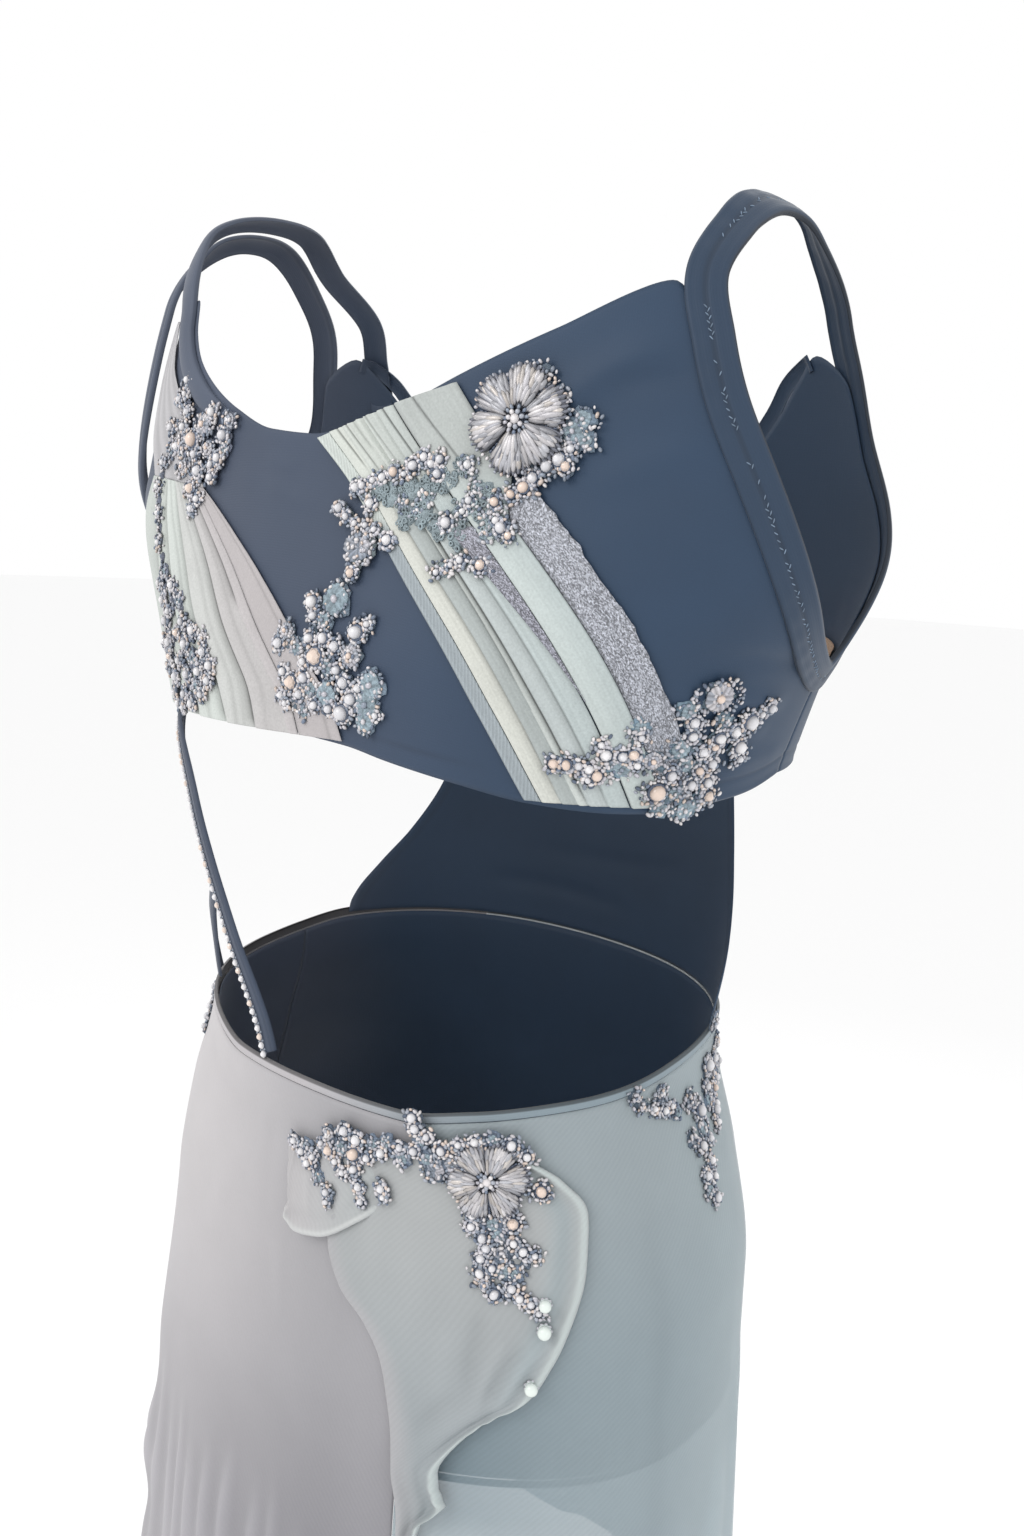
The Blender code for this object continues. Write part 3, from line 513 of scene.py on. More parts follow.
# ------------------------------------------------------------------ materials
def fabric(name, rough=0.6, metal=0.0, sheen=0.0, alpha=1.0, coat=0.0, ior=1.5, grain=0.0006, speck=0.06,
           blotch=0.03, bump=0.00012, weave=None, weave_depth=0.0002, weave_tone=0.0, glitter=False, net=0.0):
    """Cloth, thread or glass whose colour follows the tint of each point."""
    m = bpy.data.materials.new(name)
    m.use_nodes = True
    nt = m.node_tree
    bs = nt.nodes["Principled BSDF"]
    bs.inputs["Roughness"].default_value = rough
    bs.inputs["Metallic"].default_value = metal
    bs.inputs["Sheen Weight"].default_value = sheen
    bs.inputs["Sheen Roughness"].default_value = 0.45
    bs.inputs["Coat Weight"].default_value = coat
    bs.inputs["Coat Roughness"].default_value = 0.12
    bs.inputs["IOR"].default_value = ior
    bs.inputs["Alpha"].default_value = alpha
    new, link = nt.nodes.new, nt.links.new
    at = new("ShaderNodeAttribute")
    at.attribute_name = "tint"
    pos = new("ShaderNodeTexCoord")
    uv = new("ShaderNodeUVMap")
    uv.uv_map = "cloth"

    def maths(kind, *vals):
        k = new("ShaderNodeMath")
        k.operation = kind
        for i, v in enumerate(vals):
            if isinstance(v, (int, float)):
                k.inputs[i].default_value = v
            else:
                link(v, k.inputs[i])
        return k.outputs[0]

    def noise(size, detail, source=None):
        k = new("ShaderNodeTexNoise")
        k.inputs["Scale"].default_value = 1 / size
        k.inputs["Detail"].default_value = detail
        link(source or pos.outputs["Object"], k.inputs["Vector"])
        return k.outputs["Fac"]

    fine, wide = noise(grain, 2.0), noise(0.022, 3.0)
    tone = maths("MULTIPLY_ADD", maths("SUBTRACT", fine, 0.5), speck * 4, 1.0)
    tone = maths("MULTIPLY_ADD", maths("SUBTRACT", wide, 0.5), blotch * 4, tone)
    height = maths("MULTIPLY", fine, bump / 0.0001)
    if weave:
        lines = []
        for angle, period in weave:
            dot = new("ShaderNodeVectorMath")
            dot.operation = "DOT_PRODUCT"
            link(uv.outputs["UV"], dot.inputs[0])
            k = 2 * np.pi / period
            dot.inputs[1].default_value = (k * np.cos(np.radians(angle)), k * np.sin(np.radians(angle)), 0)
            wob = maths("MULTIPLY_ADD", noise(0.006, 1.0), 2.4, dot.outputs["Value"])
            lines.append(maths("MULTIPLY_ADD", maths("SINE", wob), 0.5, 0.5))
        w = lines[0]
        for extra in lines[1:]:
            w = maths("MULTIPLY", w, extra)
        height = maths("MULTIPLY_ADD", w, weave_depth / 0.0001, height)
        tone = maths("MULTIPLY_ADD", maths("SUBTRACT", w, 0.5), weave_tone, tone)
    if glitter:
        mp = new("ShaderNodeMapping")
        mp.inputs["Rotation"].default_value = (0, 0, 0.85)
        mp.inputs["Scale"].default_value = (1500, 3100, 1)
        link(uv.outputs["UV"], mp.inputs["Vector"])
        vo = new("ShaderNodeTexVoronoi")
        vo.inputs["Scale"].default_value = 1.0
        link(mp.outputs["Vector"], vo.inputs["Vector"])
        sp = new("ShaderNodeSeparateColor")
        link(vo.outputs["Color"], sp.inputs["Color"])
        rp = new("ShaderNodeValToRGB")
        rp.color_ramp.interpolation = "LINEAR"
        cr = rp.color_ramp.elements
        cr[0].position, cr[0].color = 0.22, (0.24, 0.24, 0.27, 1)
        cr[1].position, cr[1].color = 0.98, (1.0, 1.0, 1.0, 1)
        e = rp.color_ramp.elements.new(0.62)
        e.color = (0.62, 0.63, 0.68, 1)
        link(sp.outputs[0], rp.inputs["Fac"])
        k = maths("MULTIPLY", rp.outputs["Color"], 1.70)
        tone = maths("MULTIPLY", tone, k)
        height = maths("MULTIPLY_ADD", sp.outputs[1], 1.6, height)
    if net:
        vo = new("ShaderNodeTexVoronoi")
        vo.feature = "DISTANCE_TO_EDGE"
        vo.inputs["Scale"].default_value = 1 / net
        link(pos.outputs["Object"], vo.inputs["Vector"])
        cell = maths("MINIMUM", maths("MULTIPLY", vo.outputs["Distance"], 4.0), 1.0)
        height = maths("MULTIPLY_ADD", cell, -2.0, height)
        tone = maths("MULTIPLY_ADD", cell, -0.34, maths("ADD", tone, 0.17))
    vm = new("ShaderNodeVectorMath")
    vm.operation = "SCALE"
    link(at.outputs["Color"], vm.inputs[0])
    link(tone, vm.inputs["Scale"])
    link(vm.outputs["Vector"], bs.inputs["Base Color"])
    bp = new("ShaderNodeBump")
    bp.inputs["Strength"].default_value = 0.8
    bp.inputs["Distance"].default_value = 0.0001
    link(height, bp.inputs["Height"])
    link(bp.outputs["Normal"], bs.inputs["Normal"])
    return m


KNIT = fabric("stretch_knit", 0.62, sheen=0.10, grain=0.0005, speck=0.035, blotch=0.03, bump=0.00005,
              weave=[(0, 0.0009), (90, 0.0011)], weave_depth=0.00003, weave_tone=0.03)
BINDING = fabric("binding_knit", 0.55, sheen=0.12, grain=0.0006, speck=0.04, bump=0.00005,
                 weave=[(90, 0.0010)], weave_depth=0.00003, weave_tone=0.03)
CHIFFON = fabric("crinkle_chiffon", 0.75, sheen=0.10, grain=0.0009, speck=0.085, blotch=0.045, bump=0.00012)
RIBBED = fabric("ribbed_mesh", 0.65, grain=0.0007, speck=0.08, weave=[(62, 0.0013)], weave_depth=0.00022,
                weave_tone=0.16)
GLITTER = fabric("glitter_tulle", 0.48, metal=0.15, grain=0.0007, speck=0.08, glitter=True)
TULLE = fabric("soft_tulle", 0.72, sheen=0.15, alpha=0.86, grain=0.0009, speck=0.05,
               weave=[(45, 0.0011), (-45, 0.0011)], weave_depth=0.00006, weave_tone=0.05)
SKIRT = fabric("skirt_crepe", 0.66, sheen=0.18, grain=0.0012, speck=0.015, blotch=0.02, bump=0.00003,
               weave=[(-38, 0.0021)], weave_depth=0.00004, weave_tone=0.012)
SHEER = fabric("sheer_crepe", 0.66, sheen=0.12, alpha=0.64, grain=0.0012, speck=0.015, blotch=0.02, bump=0.00003,
               weave=[(-48, 0.0021)], weave_depth=0.00006, weave_tone=0.045)
SATIN = fabric("drape_twill", 0.55, sheen=0.20, grain=0.0012, speck=0.015, blotch=0.02, bump=0.00003,
               weave=[(34, 0.0022)], weave_depth=0.00006, weave_tone=0.040)
GROUND = fabric("applique_tulle", 0.6, grain=0.0008, speck=0.16, blotch=0.06, bump=0.00025, net=0.0016)
THREAD = fabric("metallic_thread", 0.30, metal=0.20, coat=0.35, grain=0.0005, speck=0.14, blotch=0.05, bump=0.00014)
GLASS = fabric("glass_bead", 0.16, coat=0.7, ior=1.6, grain=0.0010, speck=0.05, blotch=0.03, bump=0.00002)
CRYSTAL = fabric("rhinestone", 0.10, coat=1.0, ior=1.75, grain=0.0012, speck=0.07, blotch=0.02, bump=0.00001)
SILVER = fabric("silver_setting", 0.28, metal=0.8, grain=0.0008, speck=0.08, bump=0.00005)
PEARL = fabric("pearl", 0.22, sheen=0.15, coat=0.8, grain=0.0015, speck=0.02, blotch=0.03, bump=0.00002)
LINING = fabric("power_mesh", 0.7, grain=0.0006, speck=0.05, net=0.0018)
ELASTIC = fabric("elastic", 0.7, grain=0.0006, speck=0.06, weave=[(90, 0.0014)], weave_depth=0.00018,
                 weave_tone=0.10)
STITCH = fabric("stitch_thread", 0.5, grain=0.0003, speck=0.10, bump=0.00006)


def keep(piece, *nodes, body="leotard"):
    """Hides the CAD nodes that a finished piece stands for and ties the piece to the body it moves with."""
    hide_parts(*nodes)
    if body:
        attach(piece, body)
    return piece


NAVY_FAR, NAVY_MID, NAVY_NEAR = colour("#485163"), colour("#39465b"), colour("#243c56")


# the knit's navy is painted greyer and lighter on the wearer's left side and darker and bluer on the right back and the
# front: painted light and shade; the small uneven factor is the knit's own uneven tone
def navy(az, z, deep=1.0):
    az, z = np.broadcast_arrays(half_turn(az), z)
    t = mix(NAVY_FAR, NAVY_MID, step(az, -70, -10))
    t = mix(t, NAVY_NEAR, step(az, -5, 62) * step(180 - np.abs(az), -5, 40))
    t = mix(t, NAVY_NEAR, step(np.abs(az), 100, 130))
    return t * (deep * (1 + 0.05 * uneven(az / 11, z * 45)))[..., None]


def azimuth(q):
    return np.degrees(np.arctan2(-q[..., 0], q[..., 1]))


# ------------------------------------------------------------------ bodice
BACK = [(-98.48, 0.1770, -98.48), (-93, 0.1800, -94), (-84, 0.1960, -87), (-77, 0.2180, -80),
        (-70, 0.2340, -74), (-66.5, 0.2480, -69), (-64.5, 0.2700, -65.5), (-62.5, 0.2950, -62.5),
        (-60.5, 0.3180, -60), (-57, 0.3220, -57), (-55, 0.3080, -54), (-52.5, 0.2970, -51),
        (-46, 0.2840, -45), (-38, 0.2750, -37), (-25, 0.2670, -25), (-8, 0.2655, -9),
        (4, 0.2690, 3), (24, 0.2790, 21), (36, 0.2890, 33), (53, 0.3060, 47),
        (67.0, 0.3230, 58), (69.5, 0.3100, 62), (70.8, 0.2800, 66.5), (73.4, 0.2530, 71),
        (77.4, 0.2260, 76), (84, 0.2020, 84), (92, 0.1860, 91), (98.48, 0.1770, 98.48)]
HEM = pchip([-98.5, -75, -49, -29, -13, 2, 14, 24, 40, 51, 66, 74, 80, 90, 98.5],
            [0.1400, 0.1370, 0.1400, 0.1455, 0.1460, 0.1450, 0.1440, 0.1410, 0.1360, 0.1320,
             0.1295, 0.1295, 0.1320, 0.1345, 0.1390])
FRONT = [(98.56, 0.1770, 98.56), (101.8, 0.1850, 102), (103.6, 0.2000, 106), (105, 0.2220, 110),
         (107.4, 0.2450, 113), (109.2, 0.2700, 116), (108.8, 0.2950, 119), (112.5, 0.3080, 122),
         (117, 0.2980, 125), (122, 0.2840, 129), (131, 0.2640, 136), (145, 0.2460, 147),
         (160, 0.2340, 161), (180, 0.2300, 180)]
FRONT = FRONT + [(360 - a, z, 360 - h) for a, z, h in reversed(FRONT[:-1])]
FRONT_HEM = pchip([98, 112, 130, 180, 230, 248, 262],
                  [0.1390, 0.1380, 0.1360, 0.1350, 0.1360, 0.1380, 0.1400])


def between(rows, hem, count, levels):
    """Grid between a hem curve and designed top edge rows (azimuth, height, hem azimuth)."""
    r = spread(rows, count)
    t = np.linspace(0, 1, levels)[None]
    az = r[:, 2:3] + (r[:, 0:1] - r[:, 2:3]) * t
    zh = hem(r[:, 2])[:, None]
    return az, zh + (r[:, 1:2] - zh) * t, t


az, z, t = between(BACK, HEM, 320, 72)
pull = [(67, 0.303, 50, 0.272, 5.5, 1.9), (70, 0.268, 57, 0.248, 6.0, 0.9), (69, 0.290, 58, 0.286, 4.0, -1.0),
        (90, 0.172, 66, 0.176, 4.5, 1.7), (92, 0.186, 72, 0.193, 4.0, -1.2), (88, 0.162, 74, 0.160, 4.0, 0.9),
        (84, 0.150, 64, 0.166, 5.5, 0.5), (96, 0.150, 80, 0.146, 4.0, 0.7),
        (-24, 0.246, -4, 0.236, 4.0, 0.6), (-26, 0.255, -12, 0.252, 3.5, 0.4), (16, 0.212, 30, 0.176, 7.0, 0.5),
        (18, 0.164, 44, 0.142, 5.0, 0.5), (-75, 0.215, -66, 0.180, 4.0, 0.6), (62, 0.236, 72, 0.206, 8.0, -0.5),
        (-40, 0.262, -28, 0.240, 5.0, 0.5)]
lift = 1.65 + ridges(az, z, pull)
edge_in = np.minimum(t, 1 - t) * 1.0
lift = lift + 0.35 * bell((z - HEM(az)) * 1000, 1.2, 1.2) - 0.30 * bell((z - HEM(az)) * 1000, 8.5, 1.1)
# painted shade: darker line in the groove 8.5 mm above the hem
T = navy(az, z) * (1 - 0.16 * bell((z - HEM(az)) * 1000, 8.5, 0.7))[..., None]
back_bodice = cloth("bodice_back", az, z, lift, 0.85, [KNIT], T)
keep(back_bodice, "back_bodice_panel")

az, z, t = between(FRONT, FRONT_HEM, 260, 60)
lift = 1.65 + ridges(az, z, [(112, 0.205, 128, 0.190, 6, 0.9), (108, 0.172, 124, 0.176, 5, 0.8),
                             (248, 0.205, 232, 0.190, 6, 0.9), (252, 0.172, 236, 0.176, 5, 0.8),
                             (170, 0.222, 176, 0.190, 5, 0.6), (192, 0.222, 186, 0.186, 5, 0.5)])
fh = (z - FRONT_HEM(az % 360)) * 1000
lift = lift + 0.35 * bell(fh, 1.2, 1.2) - 0.30 * bell(fh, 8.5, 1.1)
# painted shade: darker line in the groove 8.5 mm above the hem
front_bodice = cloth("bodice_front", az, z, lift, 0.85, [KNIT], navy(az, z) * (1 - 0.16 * bell(fh, 8.5, 0.7))[..., None])
keep(front_bodice, "front_bodice_panel")

az, z = np.meshgrid(np.linspace(106, 254, 120), np.linspace(0, 1, 22), indexing="ij")
z = 0.154 + z * (0.052 - 0.016 * np.abs(az - 180) / 74)
lining = cloth("bust_shelf_lining", az, z, np.full(az.shape, -0.25) - 0.25 * bell(z, 0.158, 0.002), 0.7, [LINING],
               np.broadcast_to(colour("#c9a98f"), az.shape + (3,)))
keep(lining, "bust_lining")
az, z = np.meshgrid(np.linspace(-180, 180, 241)[:-1], np.linspace(0.002, 0.012, 9), indexing="ij")
z = z + np.where(np.abs(az) < 98.5, HEM(az), FRONT_HEM(az % 360))
elastic = cloth("hem_elastic_band", az, z, np.full(az.shape, -0.25), 0.7, [ELASTIC],
                np.broadcast_to(colour("#5a6272"), az.shape + (3,)), closed=True)
keep(elastic, "hem_elastic")

# ------------------------------------------------------------------ bindings and straps
ARM = [(98, 0.1820), (91, 0.1900), (84, 0.2050), (77.8, 0.2280), (73.9, 0.2550), (71.3, 0.2810),
       (70.3, 0.3030), (70.6, 0.3260), (-0.1465, 0.0340, 0.3480), (-0.1435, 0.0100, 0.3560),
       (-0.1430, -0.0130, 0.3520), (-0.1465, -0.0330, 0.3370), (107.0, 0.3180), (108.4, 0.2980),
       (109.2, 0.2720), (107.4, 0.2460), (105.0, 0.2230), (103.4, 0.2040), (101.8, 0.1900)]
ARM_L = [(-i[0], i[1]) if len(i) == 2 else (-i[0], i[1], i[2]) for i in ARM]


def stitches(soup, items, count, offset, height, mat, tone, closed=True, zig=0.9, gaps=0.35, seed=3, body=None):
    """Row of zig-zag stitches sunk into a binding, some of them hidden by the knit."""
    body = body or figure
    rng = np.random.default_rng(seed)
    p, t, nn, s = path(items, count, body, closed)
    side = np.where(np.arange(count if closed else count + 1) % 2 == 0, 1, -1)[:len(p)]
    q = body.settle(p + s * ((offset + zig * side * 0.5) * MM)[:, None])
    N = body.normal(q)
    d = t + s * (side * 0.75)[:, None]
    d /= np.linalg.norm(d, axis=1)[:, None]
    hor = np.cross(np.array([0, 0, 1.0]), N)
    hor /= np.linalg.norm(hor, axis=1)[:, None]
    up = np.cross(N, hor)
    ang = np.arctan2((d * up).sum(1), (d * hor).sum(1))
    keep_it = rng.uniform(size=len(q)) > gaps * (0.6 + 0.8 * (uneven(np.arange(len(q)) / 9.0, 0.5) > 0))
    C = q + N * (height(np.arange(len(p)) / len(p)) if callable(height) else height) * MM
    tone = colour(tone) * rng.uniform(0.75, 1.15, (len(q), 1))
    scatter(soup, BEAD, C[keep_it], N[keep_it], (1.0, 0.26, 0.32), ang[keep_it], tone[keep_it], mat, 0.75)


s = Soup()
roll = lambda u, k: (2.55 + 1.25 * (1 - k ** 4) + 0.65 * bell(k, -0.80, 0.20) + 0.55 * bell(k, 0.86, 0.14)
                     - 0.55 * bell(k, 0.05, 0.16) + 0.10 * np.sin(u * 260) * bell(k, 0.5, 0.5))
# painted shade: darker in the middle groove and along both edges, with a strong shadow line on the panel side
ribbon(s, ARM, 420, BINDING_HALF, roll, 1.5,
       lambda u, k, q: navy(azimuth(q), q[..., 2], 0.84) * (1 - 0.30 * bell(k, 0.05, 0.10) - 0.30 * bell(np.abs(k), 1, 0.06) - 0.45 * bell(k, -0.97, 0.06))[..., None],
       closed=True, cols=27)
stitches(s, ARM, 330, 0.4, 3.35, 1, "#74879d", gaps=0.52)
keep(s.make("armhole_binding_right_cloth", [BINDING, STITCH]), "armhole_binding_right")
s = Soup()
padded_roll = lambda u, k: 2.5 + 2.3 * np.sqrt(np.clip(1 - k ** 2, 0, 1)) - 0.35 * bell(k, -0.55, 0.12)
# painted shade: darker in the groove and along both edges
ribbon(s, ARM_L, 420, BINDING_HALF * 0.85, padded_roll, 1.5,
       lambda u, k, q: navy(azimuth(q), q[..., 2], 1.04) * (1 - 0.30 * bell(k, -0.55, 0.08) - 0.2 * bell(np.abs(k), 1, 0.06))[..., None],
       closed=True, cols=25)
stitches(s, ARM_L, 330, 2.6, 3.95, 1, "#7d8aa0", gaps=0.55, seed=5)
keep(s.make("armhole_binding_left_cloth", [BINDING, STITCH]), "armhole_binding_left")

STRAP_LEFT = [(-30, 0.2615), (-40, 0.2690), (-48.5, 0.2790), (-54.5, 0.2920), (-57.6, 0.3060),
              (-59.5, 0.3220), (0.1250, 0.0470, 0.3440), (0.1262, 0.0260, 0.3560), (0.1268, 0.0040, 0.3610),
              (0.1268, -0.0160, 0.3560), (0.1285, -0.0320, 0.3400), (-113.5, 0.3240), (-115.8, 0.3060),
              (-117.6, 0.2900), (-118.6, 0.2800)]
strap_half = pchip(np.linspace(0, 1, 9), [2.2 * MM, 5 * MM] + [6.3 * MM] * 7)
s = Soup()
# painted shade: darker along both rounded edges
ribbon(s, STRAP_LEFT, 300, strap_half,
       lambda u, k: 0.5 + 2.1 * step(u, 0.0, 0.17) * (1 - step(u, 0.955, 0.995)) + (0.5 + 2.2 * step(u, 0.02, 0.24) * (1 - step(u, 0.955, 0.995))) * np.sqrt(np.clip(1 - k ** 2, 0, 1)),
       1.3, lambda u, k, q: navy(azimuth(q), q[..., 2], 1.02) * (1 - 0.2 * bell(np.abs(k), 1, 0.08))[..., None], cols=23)
keep(s.make("neckline_strap_left_cloth", [BINDING]), "neckline_strap_left")
s = Soup()
ribbon(s, [(-113.6, 0.3058), (-115.8, 0.3030), (-119.5, 0.2960), (-124, 0.2830), (-133, 0.2630), (-146, 0.2440), (-161, 0.2330),
           (180, 0.2290), (161, 0.2330), (146, 0.2440), (133, 0.2630), (124, 0.2830), (119.5, 0.2960), (115.8, 0.3030), (113.6, 0.3058)],
       260, 3.5 * MM, lambda u, k: 0.7 + (1.8 + 1.6 * np.sqrt(np.clip(1 - k ** 2, 0, 1))) * step(u, 0.0, 0.02) * (1 - step(u, 0.98, 1.0)), 1.2,
       lambda u, k, q: navy(azimuth(q), q[..., 2], 0.95), cols=15)
keep(s.make("front_neckline_binding_cloth", [BINDING]), "front_neckline_binding")

# ------------------------------------------------------------------ pleated bands
A_LEFT = [(-6.5, 0.2640), (8, 0.2460), (23, 0.2190), (35, 0.1905), (43, 0.1640), (51, 0.1335)]
A_RIGHT = [(36.5, 0.2870), (45, 0.2640), (54, 0.2380), (60.5, 0.2130), (68, 0.1800), (77, 0.1325)]
B_LEFT = [(-62.5, 0.2440), (-66, 0.2250), (-67, 0.2050), (-66, 0.1800), (-63, 0.1600), (-60, 0.1400)]
B_RIGHT = [(-44.5, 0.2400), (-31, 0.2230), (-18, 0.2070), (-6, 0.1900), (10, 0.1600), (13.5, 0.1460)]
F_LEFT = [(128, 0.2600), (146, 0.2350), (164, 0.2080), (181, 0.1760), (191, 0.1390)]
F_RIGHT = [(148, 0.2360), (164, 0.2180), (181, 0.1960), (199, 0.1660), (213, 0.1390)]
weave_a, weave_b, weave_f = edges(A_LEFT, A_RIGHT), edges(B_LEFT, B_RIGHT), edges(F_LEFT, F_RIGHT)
pleat_edge = lambda s: 0.985 - 0.19 * step(s, 0.24, 0.40)


def pleats(s, w, bounds, tones, high, low, crease, width=0.010):
    """Folds that overlap the one before: their heights in mm and their tints."""
    H = np.full(s.shape, low, float)
    T = np.zeros(s.shape + (3,))
    T[:] = colour(tones[0])
    for k, tone in enumerate(tones):
        a, b = bounds[k](s), bounds[k + 1](s)
        v = np.clip((w - a) / np.maximum(b - a, 1e-4), 0, 1)
        inside = w >= a
        h = low + (high[k] - low) * ((1 - v) ** 1.1 * 0.8 + 0.2 * np.sin(np.pi * v)) * step(w, a, a + 0.012)
        H = np.where(inside, h, H)
        # each fold is painted lighter where it stands high and darker towards the next fold: painted light and shade
        c = colour(tone) * (1.04 - 0.10 * v)[..., None]
        T = np.where(inside[..., None], c, T)
    # painted shade: a dark line along each crease, at the foot of the next fold's edge, with a softer shade beside it
    for k, (depth, s0, s1) in enumerate(crease):
        c = bounds[k](s)
        d = depth * step(s, s0 - 0.03, s0 + 0.05) * (1 - step(s, s1 - 0.06, s1 + 0.02))
        T = T * (1 - d * bell(w, c - 0.002, width * 0.55))[..., None] * (1 - 0.35 * d * bell(w, c - 0.012, width * 1.8))[..., None]
        H = H - 0.5 * d * bell(w, c - 0.003, width)
    return H, T


def band(name, node, weave, s0, s1, w0, w1, n, m, mats, shape, thick=0.5):
    s = np.linspace(s0, s1, n)[:, None] * np.ones((1, m))
    a = w0(s) if callable(w0) else w0
    b = w1(s) if callable(w1) else w1
    w = a + (b - a) * np.linspace(0, 1, m)[None]
    az, z = weave(s, w)
    H, T = shape(s, w)
    ob = cloth(name, az, z, H, thick, mats, T, under=0.7)
    keep(ob, node)
    return ob


wave = lambda a, p, c: (lambda s: c + a * np.sin(p * s + c * 20))
flat = lambda tone, h: (lambda s, w: (np.full(s.shape, h) + 0.12 * uneven(s * 30, w * 30),
                                      np.broadcast_to(colour(tone), s.shape + (3,)) * (1 + 0.05 * uneven(s * 18, w * 40))[..., None]))

# painted shade: dark line at the left edge; painted highlight: light line on the raised rim beside it
band("band_a_ribbed_edge_cloth", "band_a_ribbed_edge", weave_a, 0.005, 1, 0.0, 0.100, 200, 11, [RIBBED],
     lambda s, w: (3.0 + 0.25 * bell(w, 0.012, 0.012), mix(colour("#c3cac6"), colour("#98a1a6"), step(s + 0.0 * w, 0.30, 0.36))
                   * (1 - 0.35 * bell(w, 0.0, 0.006) + 0.16 * bell(w, 0.014, 0.010) + 0.10 * step(w, 0.05, 0.1))[..., None]))
a_bounds = [wave(0, 1, 0.10), wave(0.010, 5, 0.215), wave(0.012, 4, 0.320), wave(0.006, 5, 0.368),
            wave(0.008, 3, 0.480), wave(0.004, 3, 0.62)]


def shape_a(s, w):
    H, T = pleats(s, w, a_bounds, ["#ccceC7", "#a7aead", "#c6ccc9", "#b7bfbf", "#b5bfbf"],
                  [3.9, 3.5, 4.0, 3.8, 3.7], 2.75,
                  [(0.2, 0, 1), (0.35, 0.28, 1), (0.35, 0.3, 0.75), (0.80, 0.0, 1), (0.35, 0.0, 1)])
    top = 1 - step(s, 0.22, 0.34)
    pale = mix(colour("#cbd0ca"), colour("#b9bfbc"), step(w, 0.2, 0.62))
    T = T * (1 - top * 0.85)[..., None] + pale * (top * 0.85)[..., None]
    # painted shade: dark lines in the creases near the top of the band
    for c, d, e in ((0.17, 0.6, 0.20), (0.245, 0.55, 0.24), (0.30, 0.3, 0.14), (0.40, 0.35, 0.22), (0.53, 0.7, 0.30)):
        g = d * (1 - step(s, e * 0.6, e)) * bell(w, c + 0.10 * s, 0.007)
        T = T * (1 - g)[..., None]
        H = H - 0.7 * g + 0.35 * (1 - step(s, e * 0.6, e)) * bell(w, c + 0.10 * s + 0.02, 0.014)
    streak = uneven(w * 95, s * 2.2) * 0.055 + uneven(w * 210, s * 3.1) * 0.03
    return H + 0.10 * uneven(w * 95, s * 3), T * (1 + streak)[..., None]


chiffon_a = band("band_a_chiffon_cloth", "band_a_chiffon", weave_a, 0.005, 1, 0.104, 0.60, 240, 110, [CHIFFON], shape_a)


def shape_pleat(s, w):
    v = np.clip((w - 0.605) / (pleat_edge(s) - 0.605), 0, 1)
    H = 3.0 + 1.2 * (1 - v) ** 1.5 * step(v, 0, 0.07) + 0.5 * bell(v, 0.94, 0.06)
    # painted light and shade: the fold is lighter where it stands high and darker across it, with dark lines along both
    # edges and along a crease near the top
    T = mix(colour("#c2cbc9"), colour("#b2bcbc"), v)
    T = mix(T, colour("#b0b5b3"), (1 - step(s, 0.22, 0.34)) * 0.9)
    T = T * (1 - 0.65 * bell(v, 0, 0.03) - 0.25 * bell(v, 1, 0.03))[..., None]
    top = 1 - step(s, 0.24, 0.36)
    line = 0.6 * top * bell(v, 0.34 + 0.5 * s, 0.018)
    return H - 0.6 * line, T * (1 - line + uneven(w * 90, s * 2.4) * 0.05)[..., None]


pleat_a = band("band_a_pleat_cloth", "band_a_pleat", weave_a, 0.005, 1, 0.607, pleat_edge, 200, 50, [CHIFFON], shape_pleat)
band("band_a_glitter_sliver_cloth", "band_a_glitter_sliver", weave_a, 0.38, 0.80,
     lambda s: 0.475 + 0.33 * (s - 0.38), lambda s: 0.612 - 0.005 * (s - 0.38), 90, 15, [GLITTER],
     lambda s, w: (np.full(s.shape, 4.35), np.broadcast_to(colour("#92939e"), s.shape + (3,)) * 1.0))
# painted shade: darker where the tulle tucks under the pleat's edge
band("band_a_glitter_tulle_cloth", "band_a_glitter_tulle", weave_a, 0.315, 1, lambda s: pleat_edge(s) + 0.002,
     lambda s: 1.0 + 0.012 * uneven(s * 26, 3.3) + 0.006 * uneven(s * 70, 1.3), 150, 21, [GLITTER],
     lambda s, w: (3.15 + 0.30 * bell(w, 0.985, 0.03), np.broadcast_to(colour("#a5a8b1"), s.shape + (3,))
                   * (1 - 0.45 * bell(w, pleat_edge(s) + 0.004, 0.012))[..., None]))

b_bounds = [wave(0, 1, -0.01), wave(0.008, 4, 0.20), wave(0.006, 4, 0.31), wave(0.008, 4, 0.46), wave(0.006, 4, 0.615),
            lambda s: 0.72 + 0.05 * s, lambda s: 0.82 + 0 * s]


def shape_b(s, w):
    H, T = pleats(s, w, b_bounds, ["#bcc2be", "#c4cac5", "#c8ceca", "#c3c5c3", "#bab8b8", "#b8b4b5"],
                  [3.7, 3.8, 4.1, 4.2, 4.0, 3.5], 2.7,
                  [(0.0, 0, 1), (0.5, 0, 1), (0.65, 0, 1), (0.7, 0.0, 1), (0.85, 0.0, 1), (0.65, 0.0, 0.55)], 0.011)
    # painted shade: darker in these extra creases
    for c, d in ((0.37, 0.25), (0.52, 0.22), (0.56, 0.15), (0.67, 0.18)):
        g = d * bell(w, c + 0.03 * np.sin(3 * s), 0.012)
        T = T * (1 - g * 0.7)[..., None]
        H = H - 0.7 * g
    return H, T * (1 + uneven(w * 80, s * 2) * 0.035)[..., None]


